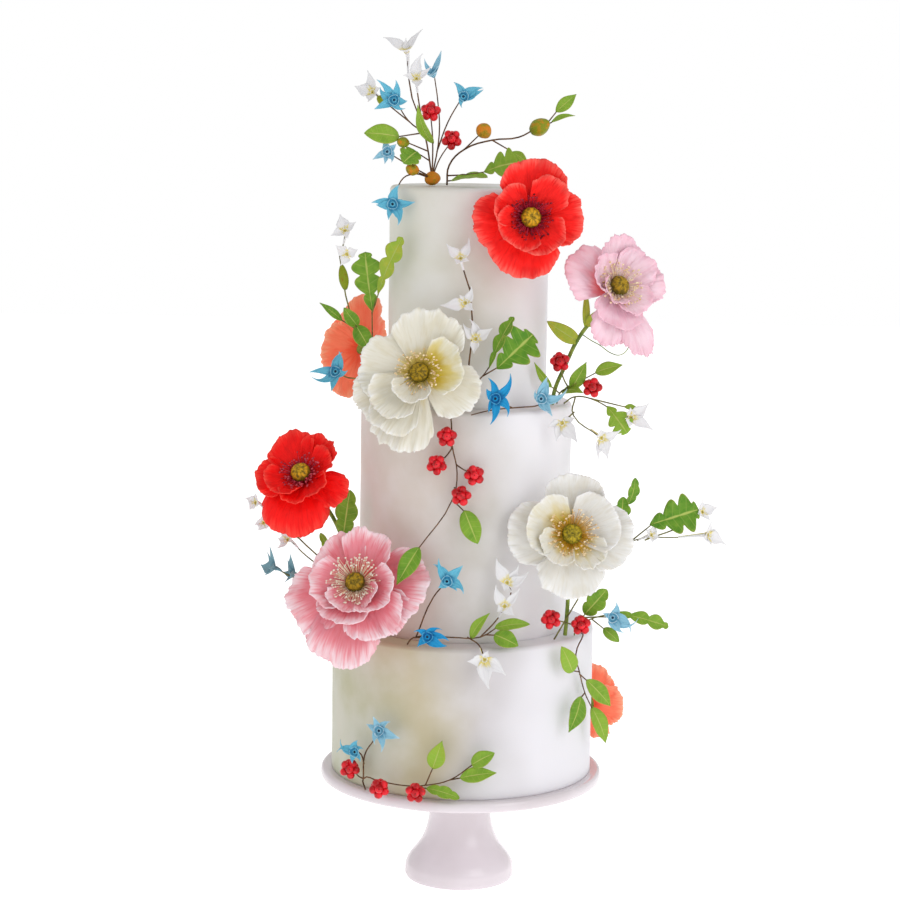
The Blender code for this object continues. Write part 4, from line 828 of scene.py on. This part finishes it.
blue_blossom("top_high", "blue", (-72, -38, 760), (-0.2, -0.95, 0.1), (120, 23), (69, 18), (207, 21),
             (165, 19), (345, 14), (280, 13))
blue_blossom("top_grey", "grey_blue", (-37, 10, 785), (-0.35, -0.35, 0.87), (75, 18), (165, 13), (255, 10),
             (340, 10), cup=0.9)
blue_blossom("top_right", "blue", (-8, -2, 764), (0.3, -0.9, 0.3), (107, 16), (38, 20), (9, 19), (342, 15),
             (230, 11))
blue_blossom("top_pale", "grey_blue", (-78, -38, 712), (-0.2, -0.95, 0.2), (210, 15), (105, 12), (34, 11),
             (330, 12), (265, 12))
blue_blossom("top_edge", "blue", (-72, -54, 664), (-0.15, -0.98, 0.1), (165, 19), (87, 19), (0, 22),
             (315, 21), (250, 15), (192, 15))
blue_blossom("step_right", "grey_blue", (69, -84, 487), (0.1, -0.98, 0.15), (82, 21), (58, 17), (351, 25),
             (303, 19), (268, 14), (170, 10))
blue_blossom("step_left", "sharp_blue", (26, -112, 490), (0, -0.99, 0.12), (90, 20), (35, 27), (346, 20),
             (277, 24), (233, 14), (149, 12))
blue_blossom("left", "blue", (-124, -52, 506), (-0.2, -0.95, 0.2), (178, 24), (98, 19), (61, 19), (236, 22),
             (267, 19), (330, 12))
blue_blossom("shelf_high", "blue", (-16, -131, 322), (0.1, -0.95, 0.3), (124, 22), (106, 20), (45, 20),
             (354, 19), (324, 13), (230, 10))
blue_blossom("shelf_low", "sharp_blue", (-33, -137, 271), (-0.1, -0.98, 0.15), (68, 15), (14, 20), (323, 20),
             (219, 13), (124, 13))
blue_blossom("right", "grey_blue", (141, -77, 279), (0.15, -0.97, 0.15), (55, 15), (358, 22), (307, 24),
             (279, 18), (155, 11))
blue_blossom("base_pale", "grey_blue", (-77, -121, 177), (-0.35, -0.93, 0.2), (111, 14), (63, 15), (348, 23),
             (305, 20), (155, 14), (230, 13))
blue_blossom("base", "blue", (-100, -105, 152), (-0.45, -0.88, 0.1), (151, 19), (190, 18), (105, 12),
             (66, 10), (330, 11), (250, 11))


# Berries: tight bunches of small balls of red paste, dipped in confectioner's glaze so that each
# ball shows a small highlight, and pinched to a dark pip at its tip.

BERRY_REACH = 10.0
BALL_RADIUS = 4.0
BALL_ROWS = 9


def berry_finish():
    look, tree = new_finish("glazed_berry", 0.3, coat=0.3)
    cloud = clouds(tree, 160.0, 2.0)
    body = blend(tree, ramp(tree, cloud, 0.35, 0.65), (170, 4, 14), (232, 26, 42))
    pip = ramp(tree, across_and_along(tree)[1], 0.93, 0.985)
    return dressed(look, blend(tree, pip, body, (70, 10, 12)), cloud, 0.3, 0.3)


GLAZED_BERRY = berry_finish()


def berry_bunch(name, centre, turn):
    """One ball in front, a ring of five round it and four behind."""
    chance = random.Random(name)
    ways = [(0, -1, 0.15)]
    for count, share, depth, start in ((5, 1, -0.25, turn), (4, 0.75, 0.75, turn * 1.7)):
        for step in range(count):
            angle = start + math.tau * step / count
            ways.append((math.cos(angle) * share, depth, math.sin(angle) * share))
    balls = []
    for way in ways:
        out = Vector(way).normalized()
        size = BALL_RADIUS * chance.uniform(0.92, 1.04)
        outline = []
        for step in range(BALL_ROWS + 1):
            angle = math.pi * step / BALL_ROWS
            tip = 0.93 if step == BALL_ROWS else 1
            outline.append((max(0.01, size * math.sin(angle)), -size * math.cos(angle) * tip))
        spot = Vector(centre) + out * (BERRY_REACH - size)
        balls.append((ring_rows(spot, axes(out + Vector((0.01, 0, 0.02))), outline, 14), 0.5, 0))
    place(thin_piece("berries_" + name + "_glazed", balls, 0, [GLAZED_BERRY]), "berries_" + name)


for bunch in (
    ("top_left", (-38, -35, 750), 0.2),
    ("top_right", (-18, -29, 724), 0.9),
    ("step_upper", (87, -56, 519), 0.5),
    ("step_lower", (118, -54, 495), 1.3),
    ("twig_first", (-18, -119, 455), 0.3),
    ("twig_left", (-27, -113, 428), 1),
    ("twig_right", (8, -115, 419), 0.6),
    ("twig_last", (-4, -117, 400), 0.1),
    ("shelf_left", (82, -102, 282), 0.7),
    ("shelf_right", (111, -84, 273), 0.4),
    ("base_left", (-105, -99, 134), 1.1),
    ("base_middle", (-76, -129, 124), 0.8),
    ("base_right", (-42, -143, 124.5), 0.2),
):
    berry_bunch(*bunch)


# Wired sprays: leaves, buds and white blossoms of thin paste on florist's wire wrapped in brown
# and olive tape, twisted together and pushed into the icing.

WIRE_RADIUS = 0.75
WIRE_TAPER = 0.75
WIRE_CLEARANCE = 1.1
TRUMPET_DEPTH = 7.0
TRUMPET_WIDTH = 5.4
TRUMPET_TWIST = 0.5
TRUMPET_WALL = 0.4
TRUMPET_PETAL = (0.42, 0.80, 1.0, 0.92, 0.66, 0.38, 0.16, 0.05)
BROWN_TAPE = mottled_finish("brown_tape", (116, 84, 56), (74, 50, 30), scale=200)
OLIVE_TAPE = mottled_finish("olive_tape", (132, 128, 66), (92, 88, 42), scale=200)
BLOSSOM_PASTES = [PASTES["white_blossom"], PASTES["slate_blossom"]]


def bud_finish():
    """Bud paste: olive to orange by the tone of each bud, with brown blotches, and green at its foot."""
    look, tree = new_finish("bud_paste", 0.5, inner_glow=0.08)
    cloud = clouds(tree, 190.0, 3.0)
    ripe = maths(tree, "MULTIPLY_ADD", cloud, 2.2, tone_value(tree))
    body = blend(tree, ramp(tree, ripe, 1.40, 2.15), (128, 142, 22), (208, 126, 28))
    body = blend(tree, ramp(tree, cloud, 0.44, 0.30, 0.0, 0.7), body, (140, 78, 22))
    body = blend(tree, ramp(tree, across_and_along(tree)[1], 0.30, 0.12), body, (104, 122, 44))
    return dressed(look, body, cloud, 0.3, 0.6)


BUD_PASTE = bud_finish()


class Spray:
    """A wired spray in the making: its wires, leaves, buds and blossoms, by kind."""

    def __init__(self, node, tape, seed):
        self.node = node
        self.tape = tape
        self.chance = random.Random(seed)
        self.wires, self.leaves, self.buds, self.blossoms = [], [], [], []

    def wire(self, *points, radius=WIRE_RADIUS):
        self.wires.append((points, radius, radius * WIRE_TAPER, 0))

    def leaf(self, tip, width, *points, facing=TOWARDS_FRONT, bend=0.1, kind="plain", tone=None):
        """A leaf at the end of its own wire."""
        if len(points) > 1:
            self.wire(*points)
        seed = self.chance.uniform(0, 9)
        tone = self.chance.uniform(0.1, 0.7) if tone is None else tone
        start = Vector(points[-1])
        self.leaves.append((leaf_rows(start, tip, width, facing, bend, kind, seed), tone, 0))
        self.wires.append(([start, start.lerp(Vector(tip), 0.12)], WIRE_RADIUS * 0.8, WIRE_RADIUS * 0.4, 0))

    def bud(self, start, end, radius, tone):
        start, along = Vector(start), Vector(end) - Vector(start)
        length = along.length
        outline = smooth_outline([
            (0.01, 0), (radius * 0.45, length * 0.04), (radius * 0.98, length * 0.32),
            (radius * 0.92, length * 0.66), (radius * 0.45, length * 0.93), (0.01, length),
        ], 3)
        rows = ring_rows(start, axes(along, (0.0, 0.31, 0.95)), outline, 20, ribs=5, relief=0.05)
        self.buds.append((rows, tone, 0))

    def blossom(self, centre, facing, petals, *points, cup=0.28, look=0, sleeve=11.0, mouth=2.3):
        """A blossom on a slim trumpet that sheathes the end of its own wire."""
        centre = Vector(centre)
        directions = axes(facing)
        back = centre - directions[2] * TRUMPET_DEPTH * 0.55
        self.wire(*points, back)
        seed = centre.x * 0.07 + centre.z * 0.013
        self.blossoms += blossom_rows(centre, facing, petals, cup, TRUMPET_WIDTH, seed, TRUMPET_PETAL,
                                      TRUMPET_TWIST, look)
        outline = ((1.1, -TRUMPET_DEPTH * 0.6), (1.5, -1.6), (2.0, -0.2), (2.8, 0.8))
        self.blossoms.append((ring_rows(centre, directions, outline, 14), 0.4, look))
        behind = Vector(points[-1])
        far = min(1.0, sleeve / max(1.0, (behind - back).length))
        trumpet = [centre - directions[2] * 1.2, back, back.lerp(behind, far)]
        self.wires.append((trumpet, mouth, 0.9, 1 + look))

    def finish(self):
        """Makes the pieces, one for each kind, and fixes them to the cake."""
        made = [strands(self.node + "_wires", self.wires, [self.tape, *BLOSSOM_PASTES], 8)]
        for kind, sheets, wall, looks in (
            ("_leaves", self.leaves, LEAF_WALL, [LEAF_PASTE]),
            ("_buds", self.buds, 0, [BUD_PASTE]),
            ("_blossoms", self.blossoms, TRUMPET_WALL, BLOSSOM_PASTES),
        ):
            if sheets:
                made.append(thin_piece(self.node + kind, sheets, wall, looks))
        for piece in made:
            place(piece, self.node)


# Sprays of the top: a fan of wires that share a hub, with blossoms and buds, and a branch that
# reaches over the red poppy.

HUB = (-36, -21, 688)
STEM_FORK = (-44, -19, 730)
ROOT_HEIGHT = TOP_TIER_TOP + WIRE_CLEARANCE

spray = Spray("spray_top_fan", BROWN_TAPE, 1)
spray.bud((-35, -20, ROOT_HEIGHT), (-37, -22, 694), 7.5, 0.9)
spray.wire(HUB, STEM_FORK, (-56, -15, 762), radius=0.9)
spray.blossom((-62, -10, 806), (-0.25, -0.5, 0.85), [(58, 21), (110, 10), (165, 25), (300, 12)],
              (-56, -15, 762), (-60, -12, 785), cup=0.8, sleeve=22, mouth=2.8)
spray.blossom((-52, -33, 780), (0, -0.8, 0.6), [(95, 24), (30, 17), (160, 12), (280, 14)], STEM_FORK,
              (-50, -26, 762), cup=0.35)
spray.wire(STEM_FORK, (-58, -25, 740), (-71, -33.5, 759.5))
spray.blossom((-94, 2, 767), (-0.5, -0.8, 0.3), [(102, 20), (171, 20), (20, 10), (280, 11)], (-58, -25, 740),
              (-78, -8, 755))
spray.bud((-80, -7, 756), (-89, -1, 763), 4.5, 0.1)
spray.wire(HUB, (-30, -10, 728), (-32, 4, 760), (-35.3, 11.6, 781))
spray.wire((-32, -14, 712), (-22, -6, 740), (-9.5, 2.2, 762.5))
spray.wire(HUB, (-36, -28, 725), (-38, -34, 746))
spray.leaf((-50, -50, 756), 13, (-36, -27.5, 722), facing=(-0.5, -0.8, 0), bend=0.12, tone=0.45)
spray.wire(HUB, (-29, -24, 706), (-20, -28, 720))
spray.leaf((-100, -36, 729), 19, STEM_FORK, (-69, -32, 726), facing=(0.1, -0.9, 0.3), kind="round",
           tone=0.35)
spray.wire((-41, -20, 713), (-60, -35, 721))
spray.bud((-58, -33.5, 720), (-69, -38, 722), 5, 0.35)
spray.leaf((-63, -46, 702), 22, (-39, -20.5, 704), (-51, -36, 712), facing=(0, -0.9, 0.4), kind="lobed",
           tone=0.2)
spray.wire(HUB, (-51, -39, 694))
spray.bud((-49, -37, 694), (-60, -44, 698), 5.5, 0.7)
spray.wire(HUB, (-64, -28, 703), (-77, -33.4, 711))
spray.wire(HUB, (-60, -44, 690), (-68, -46, 679), (-71, -50, 665))
spray.finish()

spray = Spray("spray_top_branch", BROWN_TAPE, 2)
spray.wire((-22, -14, ROOT_HEIGHT), (-20, -19, 700), (-6, -22, 715), (20, -20, 724), (45, -16, 727),
           (62, -12, 736), radius=0.95)
spray.bud((56, -13, 732), (74, -11, 742), 8, 0.4)
spray.wire((-6, -22, 715), (9, -27, 730))
spray.bud((7, -26, 728), (17, -29, 738), 7.5, 0.8)
spray.leaf((99, -4, 768), 12, (70, -11.5, 738), (81, -8, 752), facing=(0.2, -0.9, 0.3), tone=0.3)
spray.leaf((98, -14, 748), 8, (70, -11.5, 738), (77, -12, 742), facing=(0, -0.5, 0.8), tone=0.3)
spray.leaf((54, -32, 703), 9, (20, -20, 724), (40, -30, 713), facing=(0, -0.9, 0.3), tone=0.5)
spray.leaf((46, -47, 704), 26, (-21, -16.5, 690), (-2, -34, 692), (15, -40, 695), facing=(0, -0.8, 0.5),
           kind="oak", tone=0.3)
spray.leaf((16, -46, 690), 16, (-21, -15, 685), (-16, -30, 686), facing=(0.1, -0.45, 0.88), bend=0.06,
           kind="lobed", tone=0.35)
spray.finish()


# Sprays of the top tier's foot: the white stem with its oak leaves, the leaves round the tall blush
# poppy, the low wires at the right, and the bare twig along the edge.

STEP_HEIGHT = MIDDLE_TIER_TOP + WIRE_CLEARANCE

spray = Spray("spray_front_white", BROWN_TAPE, 3)
spray.wire((1, -89, STEP_HEIGHT), (1, -86, 513), (4, -86, 550), (1, -86, 590), radius=0.9)
spray.blossom((-8, -92, 617), (-0.1, -0.8, 0.6), [(145, 19), (51, 20), (250, 9), (330, 9)], (1, -86, 588),
              (-5, -87, 606), cup=0.35)
spray.blossom((-3, -92, 576), (-0.1, -0.97, 0.2), [(195, 23), (52, 16), (310, 11), (120, 9)], (2, -86, 570))
spray.blossom((7, -93, 543), (0.05, -0.98, 0.15), [(141, 18), (87, 19), (32, 18), (258, 14)],
              (3.5, -86, 545))
spray.leaf((42, -94, 564), 13, (1, -87.5, 495), (14, -98, 509), (21, -98, 519), facing=(-0.7, -0.7, 0.1),
           bend=0.05, kind="oak", tone=0.15)
spray.leaf((60, -94, 548), 33, (14, -98, 509), (29, -98, 518), facing=(0, -0.97, 0.2), bend=0.06, kind="oak",
           tone=0.1)
spray.finish()

spray = Spray("spray_step_right", OLIVE_TAPE, 4)
spray.leaf((146, -56, 517), 13, (86, -28, STEP_HEIGHT), (88, -33, 486), (98, -48, 495), (122, -51, 509),
           facing=(0, -0.9, 0.4), tone=0.5)
spray.leaf((112, -53, 519), 14, (99, -47, 494), facing=(0.2, -0.9, 0.2), tone=0.3)
spray.leaf((109, -64, 491), 13, (92, -39, 489), facing=(0, -0.8, 0.55), tone=0.4)
spray.wire((108.6, -49, 501.5), (110.4, -50, 500.2))
spray.leaf((63, -56, 518), 8, (88.4, -33.6, 486.3), (79, -48, 495), facing=(-0.4, -0.8, 0.1), tone=0.6)
spray.wire((96, -45.5, 493.2), (90, -56, 505), (88, -56, 514))
spray.finish()

spray = Spray("spray_step_low", OLIVE_TAPE, 5)
spray.wire((93, -26, STEP_HEIGHT), (103, -38, 484), (117, -42, 483), (143, -48, 470))
spray.leaf((162, -50, 475), 6, (117, -42, 483), (150, -47, 476), facing=(0, -0.8, 0.6))
spray.leaf((152, -54, 452), 20, (134, -46, 475), facing=(0.1, -0.95, 0.1), kind="oak", tone=0.4)
spray.blossom((155, -53, 467), (0.3, -0.9, 0.2), [(30, 21), (330, 24), (90, 9), (250, 10)],
              (141, -47.5, 471))
spray.blossom((127, -67, 449), (0.4, -0.85, -0.2), [(248, 18), (293, 20), (15, 20), (110, 10)],
              (103, -38, 484), (101, -55, 468))
spray.blossom((89, -84, 465), (-0.2, -0.97, 0.1), [(251, 18), (317, 24), (21, 14), (188, 14)],
              (101.5, -52, 471), cup=0.2)
spray.finish()

spray = Spray("twig_step_edge", BROWN_TAPE, 6)
spray.wire((72, -60, STEP_HEIGHT), (68, -70, 479), (61, -86, 480), (44, -97, 480), (20, -106, 478),
           (4, -108, 474))
spray.wire((67, -72, 479), (68, -74, 483), (68.6, -79.3, 486.2))
spray.wire((42, -98, 480), (30, -102, 486), (26, -107.2, 489.4))
spray.finish()


# Sprays of the left side: a tall one on the middle tier's step, and a low one that comes out from
# behind the pink poppy, with two small slate-blue blossoms.

LEFT_FORK = (-124, -60, 312)
SHELF_HEIGHT = BOTTOM_TIER_TOP + WIRE_CLEARANCE

spray = Spray("spray_left_high", OLIVE_TAPE, 7)
spray.wire((-86, -36, STEP_HEIGHT), (-90, -30, 515), (-97, -34, 530), (-112, -40, 563), (-122, -36, 614),
           radius=0.9)
spray.bud((-116, -39, 582), (-120, -37, 606), 4.5, 0)
spray.blossom((-117, -41, 638), (-0.2, -0.8, 0.6), [(115, 17), (39, 13), (214, 14), (300, 10)],
              (-121.5, -36, 611))
spray.blossom((-115, -43, 616), (0.1, -0.95, 0.1), [(145, 13), (20, 11), (250, 12)], (-120, -36.5, 606))
spray.leaf((-98, -38, 618), 24, (-90, -31, 516), (-91, -34, 565), facing=(-0.1, -0.97, 0.1), bend=0.05,
           kind="oak", tone=0.2)
spray.leaf((-62, -70, 634), 17, (-91, -33.5, 560), (-84, -42, 582), facing=(-0.5, -0.85, 0.1), bend=0.05,
           kind="oak", tone=0.7)
spray.leaf((-140, -44, 570), 8, (-103, -36.5, 543), (-120, -40, 554), facing=(0.1, -0.9, 0.3))
spray.leaf((-117, -47, 566), 13, (-105, -37.5, 549), facing=(-0.1, -0.95, 0.1), kind="round", tone=0.2)
spray.leaf((-93, -41, 527), 17, (-105, -37.5, 547), facing=(0.1, -0.95, 0.1), kind="round", tone=0.15)
spray.wire((-88, -33, 500), (-112, -42, 499), (-123, -47.4, 505))
spray.finish()

spray = Spray("spray_left_low", OLIVE_TAPE, 8)
spray.wire((-108, -50, SHELF_HEIGHT), LEFT_FORK, (-161, -47, 348), radius=1)
spray.blossom((-199, -54, 380), (-0.6, -0.8, 0.1), [(150, 10), (80, 10), (230, 9), (0, 8)], (-158, -48, 345),
              (-180, -46, 362))
spray.blossom((-191, -56, 361), (-0.3, -0.9, 0), [(180, 9), (90, 9), (0, 9), (250, 9)], (-176, -46.5, 359))
spray.blossom((-168, -55, 345), (-0.6, -0.8, 0.3), [(100, 12), (190, 12), (240, 13), (20, 9)], LEFT_FORK,
              (-150, -54, 329))
spray.blossom((-161, -62, 313), (-0.85, -0.35, 0.35), [(90, 17), (140, 13), (200, 12), (270, 10), (0, 12)],
              LEFT_FORK, (-148, -64, 303), cup=0.75, look=1, sleeve=4)
spray.blossom((-180, -58, 318), (-0.85, -0.35, 0.35),
              [(90, 18), (135, 13), (200, 14), (270, 10), (0, 14), (320, 12)], (-140, -63.5, 303.4),
              (-168, -60, 312), cup=0.75, look=1, sleeve=4)
spray.leaf((-109, -57, 394), 21, LEFT_FORK, (-115, -49, 352), facing=(0, -0.97, 0.2), bend=0.08,
           kind="lobed", tone=0.2)
spray.leaf((-137, -57, 352), 10, (-121, -56, 327), facing=(-0.2, -0.95, 0.1), kind="lobed", tone=0.3)
spray.finish()


# Sprays of the bottom tier's step: the long berry twig that trails down to it, the twig that lies
# along its front, and those round the stem of the right white poppy.

spray = Spray("twig_berries", BROWN_TAPE, 9)
spray.leaf((-62, -134, 319), 18, (-17, -93, STEP_HEIGHT), (-16, -101, 479), (-14, -109, 466),
           (-13, -109, 446), (-8, -110, 420), (-12, -110, 395), (-43, -121, 350), facing=(-0.2, -0.95, 0),
           bend=0.08, tone=0.2)
spray.wire((-13, -109, 443), (-14, -110, 445), (-17, -114, 451))
spray.wire((-12.5, -109, 444), (-18, -110, 436), (-22, -111.5, 432.5))
spray.wire((-9, -110, 428), (-3, -111, 424), (3, -113, 421.5))
spray.wire((-10.4, -109.8, 406.5), (-8, -112, 404))
spray.leaf((12, -116, 355), 19, (-12, -110, 395), (0, -114, 384), facing=(0.05, -0.98, 0), bend=0.08,
           kind="round", tone=0.25)
spray.finish()

spray = Spray("spray_shelf_front", BROWN_TAPE, 10)
spray.leaf((62, -112, 279), 12, (-52, -112, SHELF_HEIGHT), (-46, -119, 266), (-12, -124, 268),
           (16, -121, 268), (31, -116, 276), facing=(0, -0.7, 0.7), bend=0.08, kind="round", tone=0.35)
spray.wire((-44, -119.5, 266), (-28, -125, 306), (-16.5, -126.5, 320.5))
spray.wire((-46, -119, 266), (-38, -126, 268), (-33.5, -132.2, 270.3))
spray.leaf((24, -127, 292), 11, (8, -122, 268), facing=(-0.5, -0.8, 0.2), bend=0.15, tone=0.4)
spray.leaf((51, -129, 262), 17, (20, -120, 270), (30, -121, 270), facing=(0.1, -0.9, 0.4), kind="round",
           tone=0.25)
spray.blossom((20, -139, 251), (0, -0.98, 0.1), [(191, 16), (270, 27), (333, 24), (80, 9)], (4, -122.5, 268),
              (15, -130, 262), cup=0.2)
spray.blossom((38, -114, 296), (0, -0.9, 0.4), [(131, 21), (43, 22), (303, 13), (220, 9)], (16, -121, 268),
              (32, -112, 284))
spray.blossom((40, -112, 318), (0.1, -0.9, 0.4), [(124, 25), (43, 19), (2, 20), (240, 9)], (34, -111, 287),
              (44, -106, 308))
spray.finish()

spray = Spray("spray_shelf_right", OLIVE_TAPE, 11)
spray.leaf((135, -77, 306), 19, (106, -62, SHELF_HEIGHT), (108, -66, 268), (116, -72, 282),
           facing=(0.1, -0.9, 0.3), kind="lobed", tone=0.2)
spray.leaf((195, -68, 269), 13, (108, -66, 268), (124, -66, 276), (146, -66, 281), facing=(0, -0.8, 0.55),
           bend=0.06, kind="oak", tone=0.3)
spray.wire((113, -70, 277), (130, -70, 278), (140.3, -72.5, 278.4))
spray.leaf((148, -74, 255), 11, (122, -66, 275), (134, -69, 266), facing=(0.1, -0.9, 0.3), kind="round",
           tone=0.3)
spray.wire((108, -66, 268), (93, -84, 276), (86, -94, 279.5))
spray.wire((108, -65, 266), (109, -70, 269), (110.3, -77, 271.4))
spray.finish()

spray = Spray("twig_hanging_right", BROWN_TAPE, 12)
spray.leaf((139, -55, 151), 17, (113, -52, SHELF_HEIGHT), (114, -67, 259), (107, -81, 244), (111, -77, 226),
           (117, -70, 204), (125, -60, 186), facing=(0.5, -0.85, 0.1), bend=0.08, tone=0.4)
spray.leaf((92, -107, 257), 17, (111, -77, 226), (103, -93, 231), facing=(0.3, -0.9, 0), bend=0.08,
           kind="round", tone=0.5)
spray.leaf((142, -64, 190), 17, (111, -77, 224), (119, -72, 216), facing=(0.4, -0.9, 0.1), bend=0.08,
           tone=0.3)
spray.leaf((101, -100, 173), 18, (117, -70, 204), (112, -84, 202), facing=(0.4, -0.85, 0.1), bend=0.08,
           tone=0.2)
spray.finish()

spray = Spray("spray_side_right", OLIVE_TAPE, 13)
spray.wire((86, -82, SHELF_HEIGHT), (112, -66, 300), (129, -60, 326), (158, -57, 349), (205, -54, 353))
spray.leaf((221, -59, 381), 32, (158, -57, 349), (178, -57, 366), facing=(0, -0.97, 0.2), bend=0.06,
           kind="oak", tone=0.1)
spray.blossom((225, -56, 378), (0.5, -0.8, 0.3), [(100, 11), (20, 14), (300, 11), (200, 8)], (171, -56, 350),
              (212, -53, 367), cup=0.4, sleeve=24, mouth=3.2)
spray.blossom((231, -56, 356), (0.8, -0.6, 0.1), [(100, 14), (335, 20), (20, 14), (200, 12), (270, 11)],
              (203, -54, 353), sleeve=26, mouth=3.4)
spray.blossom((177, -60, 356), (0.6, -0.7, 0.3), [(60, 10), (150, 10), (330, 8), (250, 8)],
              (164, -56.5, 349.5))
spray.leaf((149, -66, 393), 16, (129, -60, 326), (147, -58, 368), facing=(0.1, -0.95, 0.1), kind="lobed",
           tone=0.1)
spray.leaf((160, -64, 411), 12, (144, -58.5, 361), (155, -57, 386), facing=(0.4, -0.85, 0.1), kind="lobed",
           tone=0.15)
spray.finish()


# Spray of the stand: one twig with berries and blossoms, laid round the foot of the cake on the
# plate.

PLATE_TOP = STAND_HEIGHT + 0.3

spray = Spray("spray_base", BROWN_TAPE, 14)
spray.leaf((31, -141, 163), 15, (-90, -101, PLATE_TOP + 1), (-92, -101, 125), (-76, -113, 126),
           (-48, -126.5, 126), (-33, -130.5, 128), (-10, -135, 135), (11, -138, 151),
           facing=(-0.2, -0.9, 0.3), bend=0.2, kind="round", tone=0.3)
spray.wire((-92, -101, 125), (-91, -101, 148), (-82, -111, 166), (-78.8, -116.5, 176))
spray.wire((-91.5, -101, 139), (-94, -98, 147), (-97.6, -100.7, 151.4))
spray.wire((-92, -101, 125), (-96, -101, 127), (-98.5, -100.5, 129))
spray.wire((-76, -113, 126), (-76, -115, 125.8), (-76, -121, 125))
spray.wire((-48, -126.5, 126), (-47, -130, 125.8), (-45, -135.5, 125.2))
spray.leaf((-18, -142, 174), 17, (-33, -130.5, 128), (-26, -136, 147), facing=(0, -0.97, 0.2), bend=0.08,
           tone=0.55)
spray.leaf((33, -141, 144), 15, (-10, -135, 135), (1, -138, 138), facing=(0, -0.85, 0.5), bend=0.08,
           tone=0.35)
spray.leaf((-1, -141, 119), 12, (-46, -127, 126.2), (-30, -134.5, 126), facing=(0, -0.8, 0.6), bend=0.08,
           kind="lobed", tone=0.3)
spray.finish()


# Floor and light: a plain white sweep that glows faintly, an even bright room, and one soft window
# from the right.

FLOOR_GLOW = 0.55
ROOM_LIGHT = 0.74

bpy.ops.mesh.primitive_plane_add(size=12, location=(0, 0, -0.0005))
floor = bpy.context.object
floor.name = "floor"
floor_look = new_finish("floor_paint", 0.9)[0]
floor_inputs = shader_inputs(floor_look)
floor_inputs["Base Color"].default_value = (0.92, 0.92, 0.92, 1)
floor_inputs["Emission Color"].default_value = (1, 1, 1, 1)
floor_inputs["Emission Strength"].default_value = FLOOR_GLOW
floor.data.materials.append(floor_look)

world = bpy.data.worlds.new("bright_room")
world.use_nodes = True
bpy.context.scene.world = world
room = world.node_tree
seen = add(room, "ShaderNodeLightPath").outputs["Is Camera Ray"]
strength = add(room, "ShaderNodeMapRange", {"Value": seen, "To Min": ROOM_LIGHT, "To Max": 1.0}).outputs[0]
background = room.nodes["Background"]
background.inputs["Color"].default_value = (1, 1, 1, 1)
room.links.new(strength, background.inputs["Strength"])

bpy.ops.object.light_add(type="AREA", location=(1.7, -1.9, 1.5))
window = bpy.context.object
window.name = "window"
window.data.shape = "RECTANGLE"
window.data.size = 1.4
window.data.size_y = 1.8
window.data.energy = 14
window.rotation_euler = (Vector((0, 0, 0.4)) - window.location).to_track_quat("-Z", "Y").to_euler()

bpy.context.scene.view_settings.view_transform = "Standard"
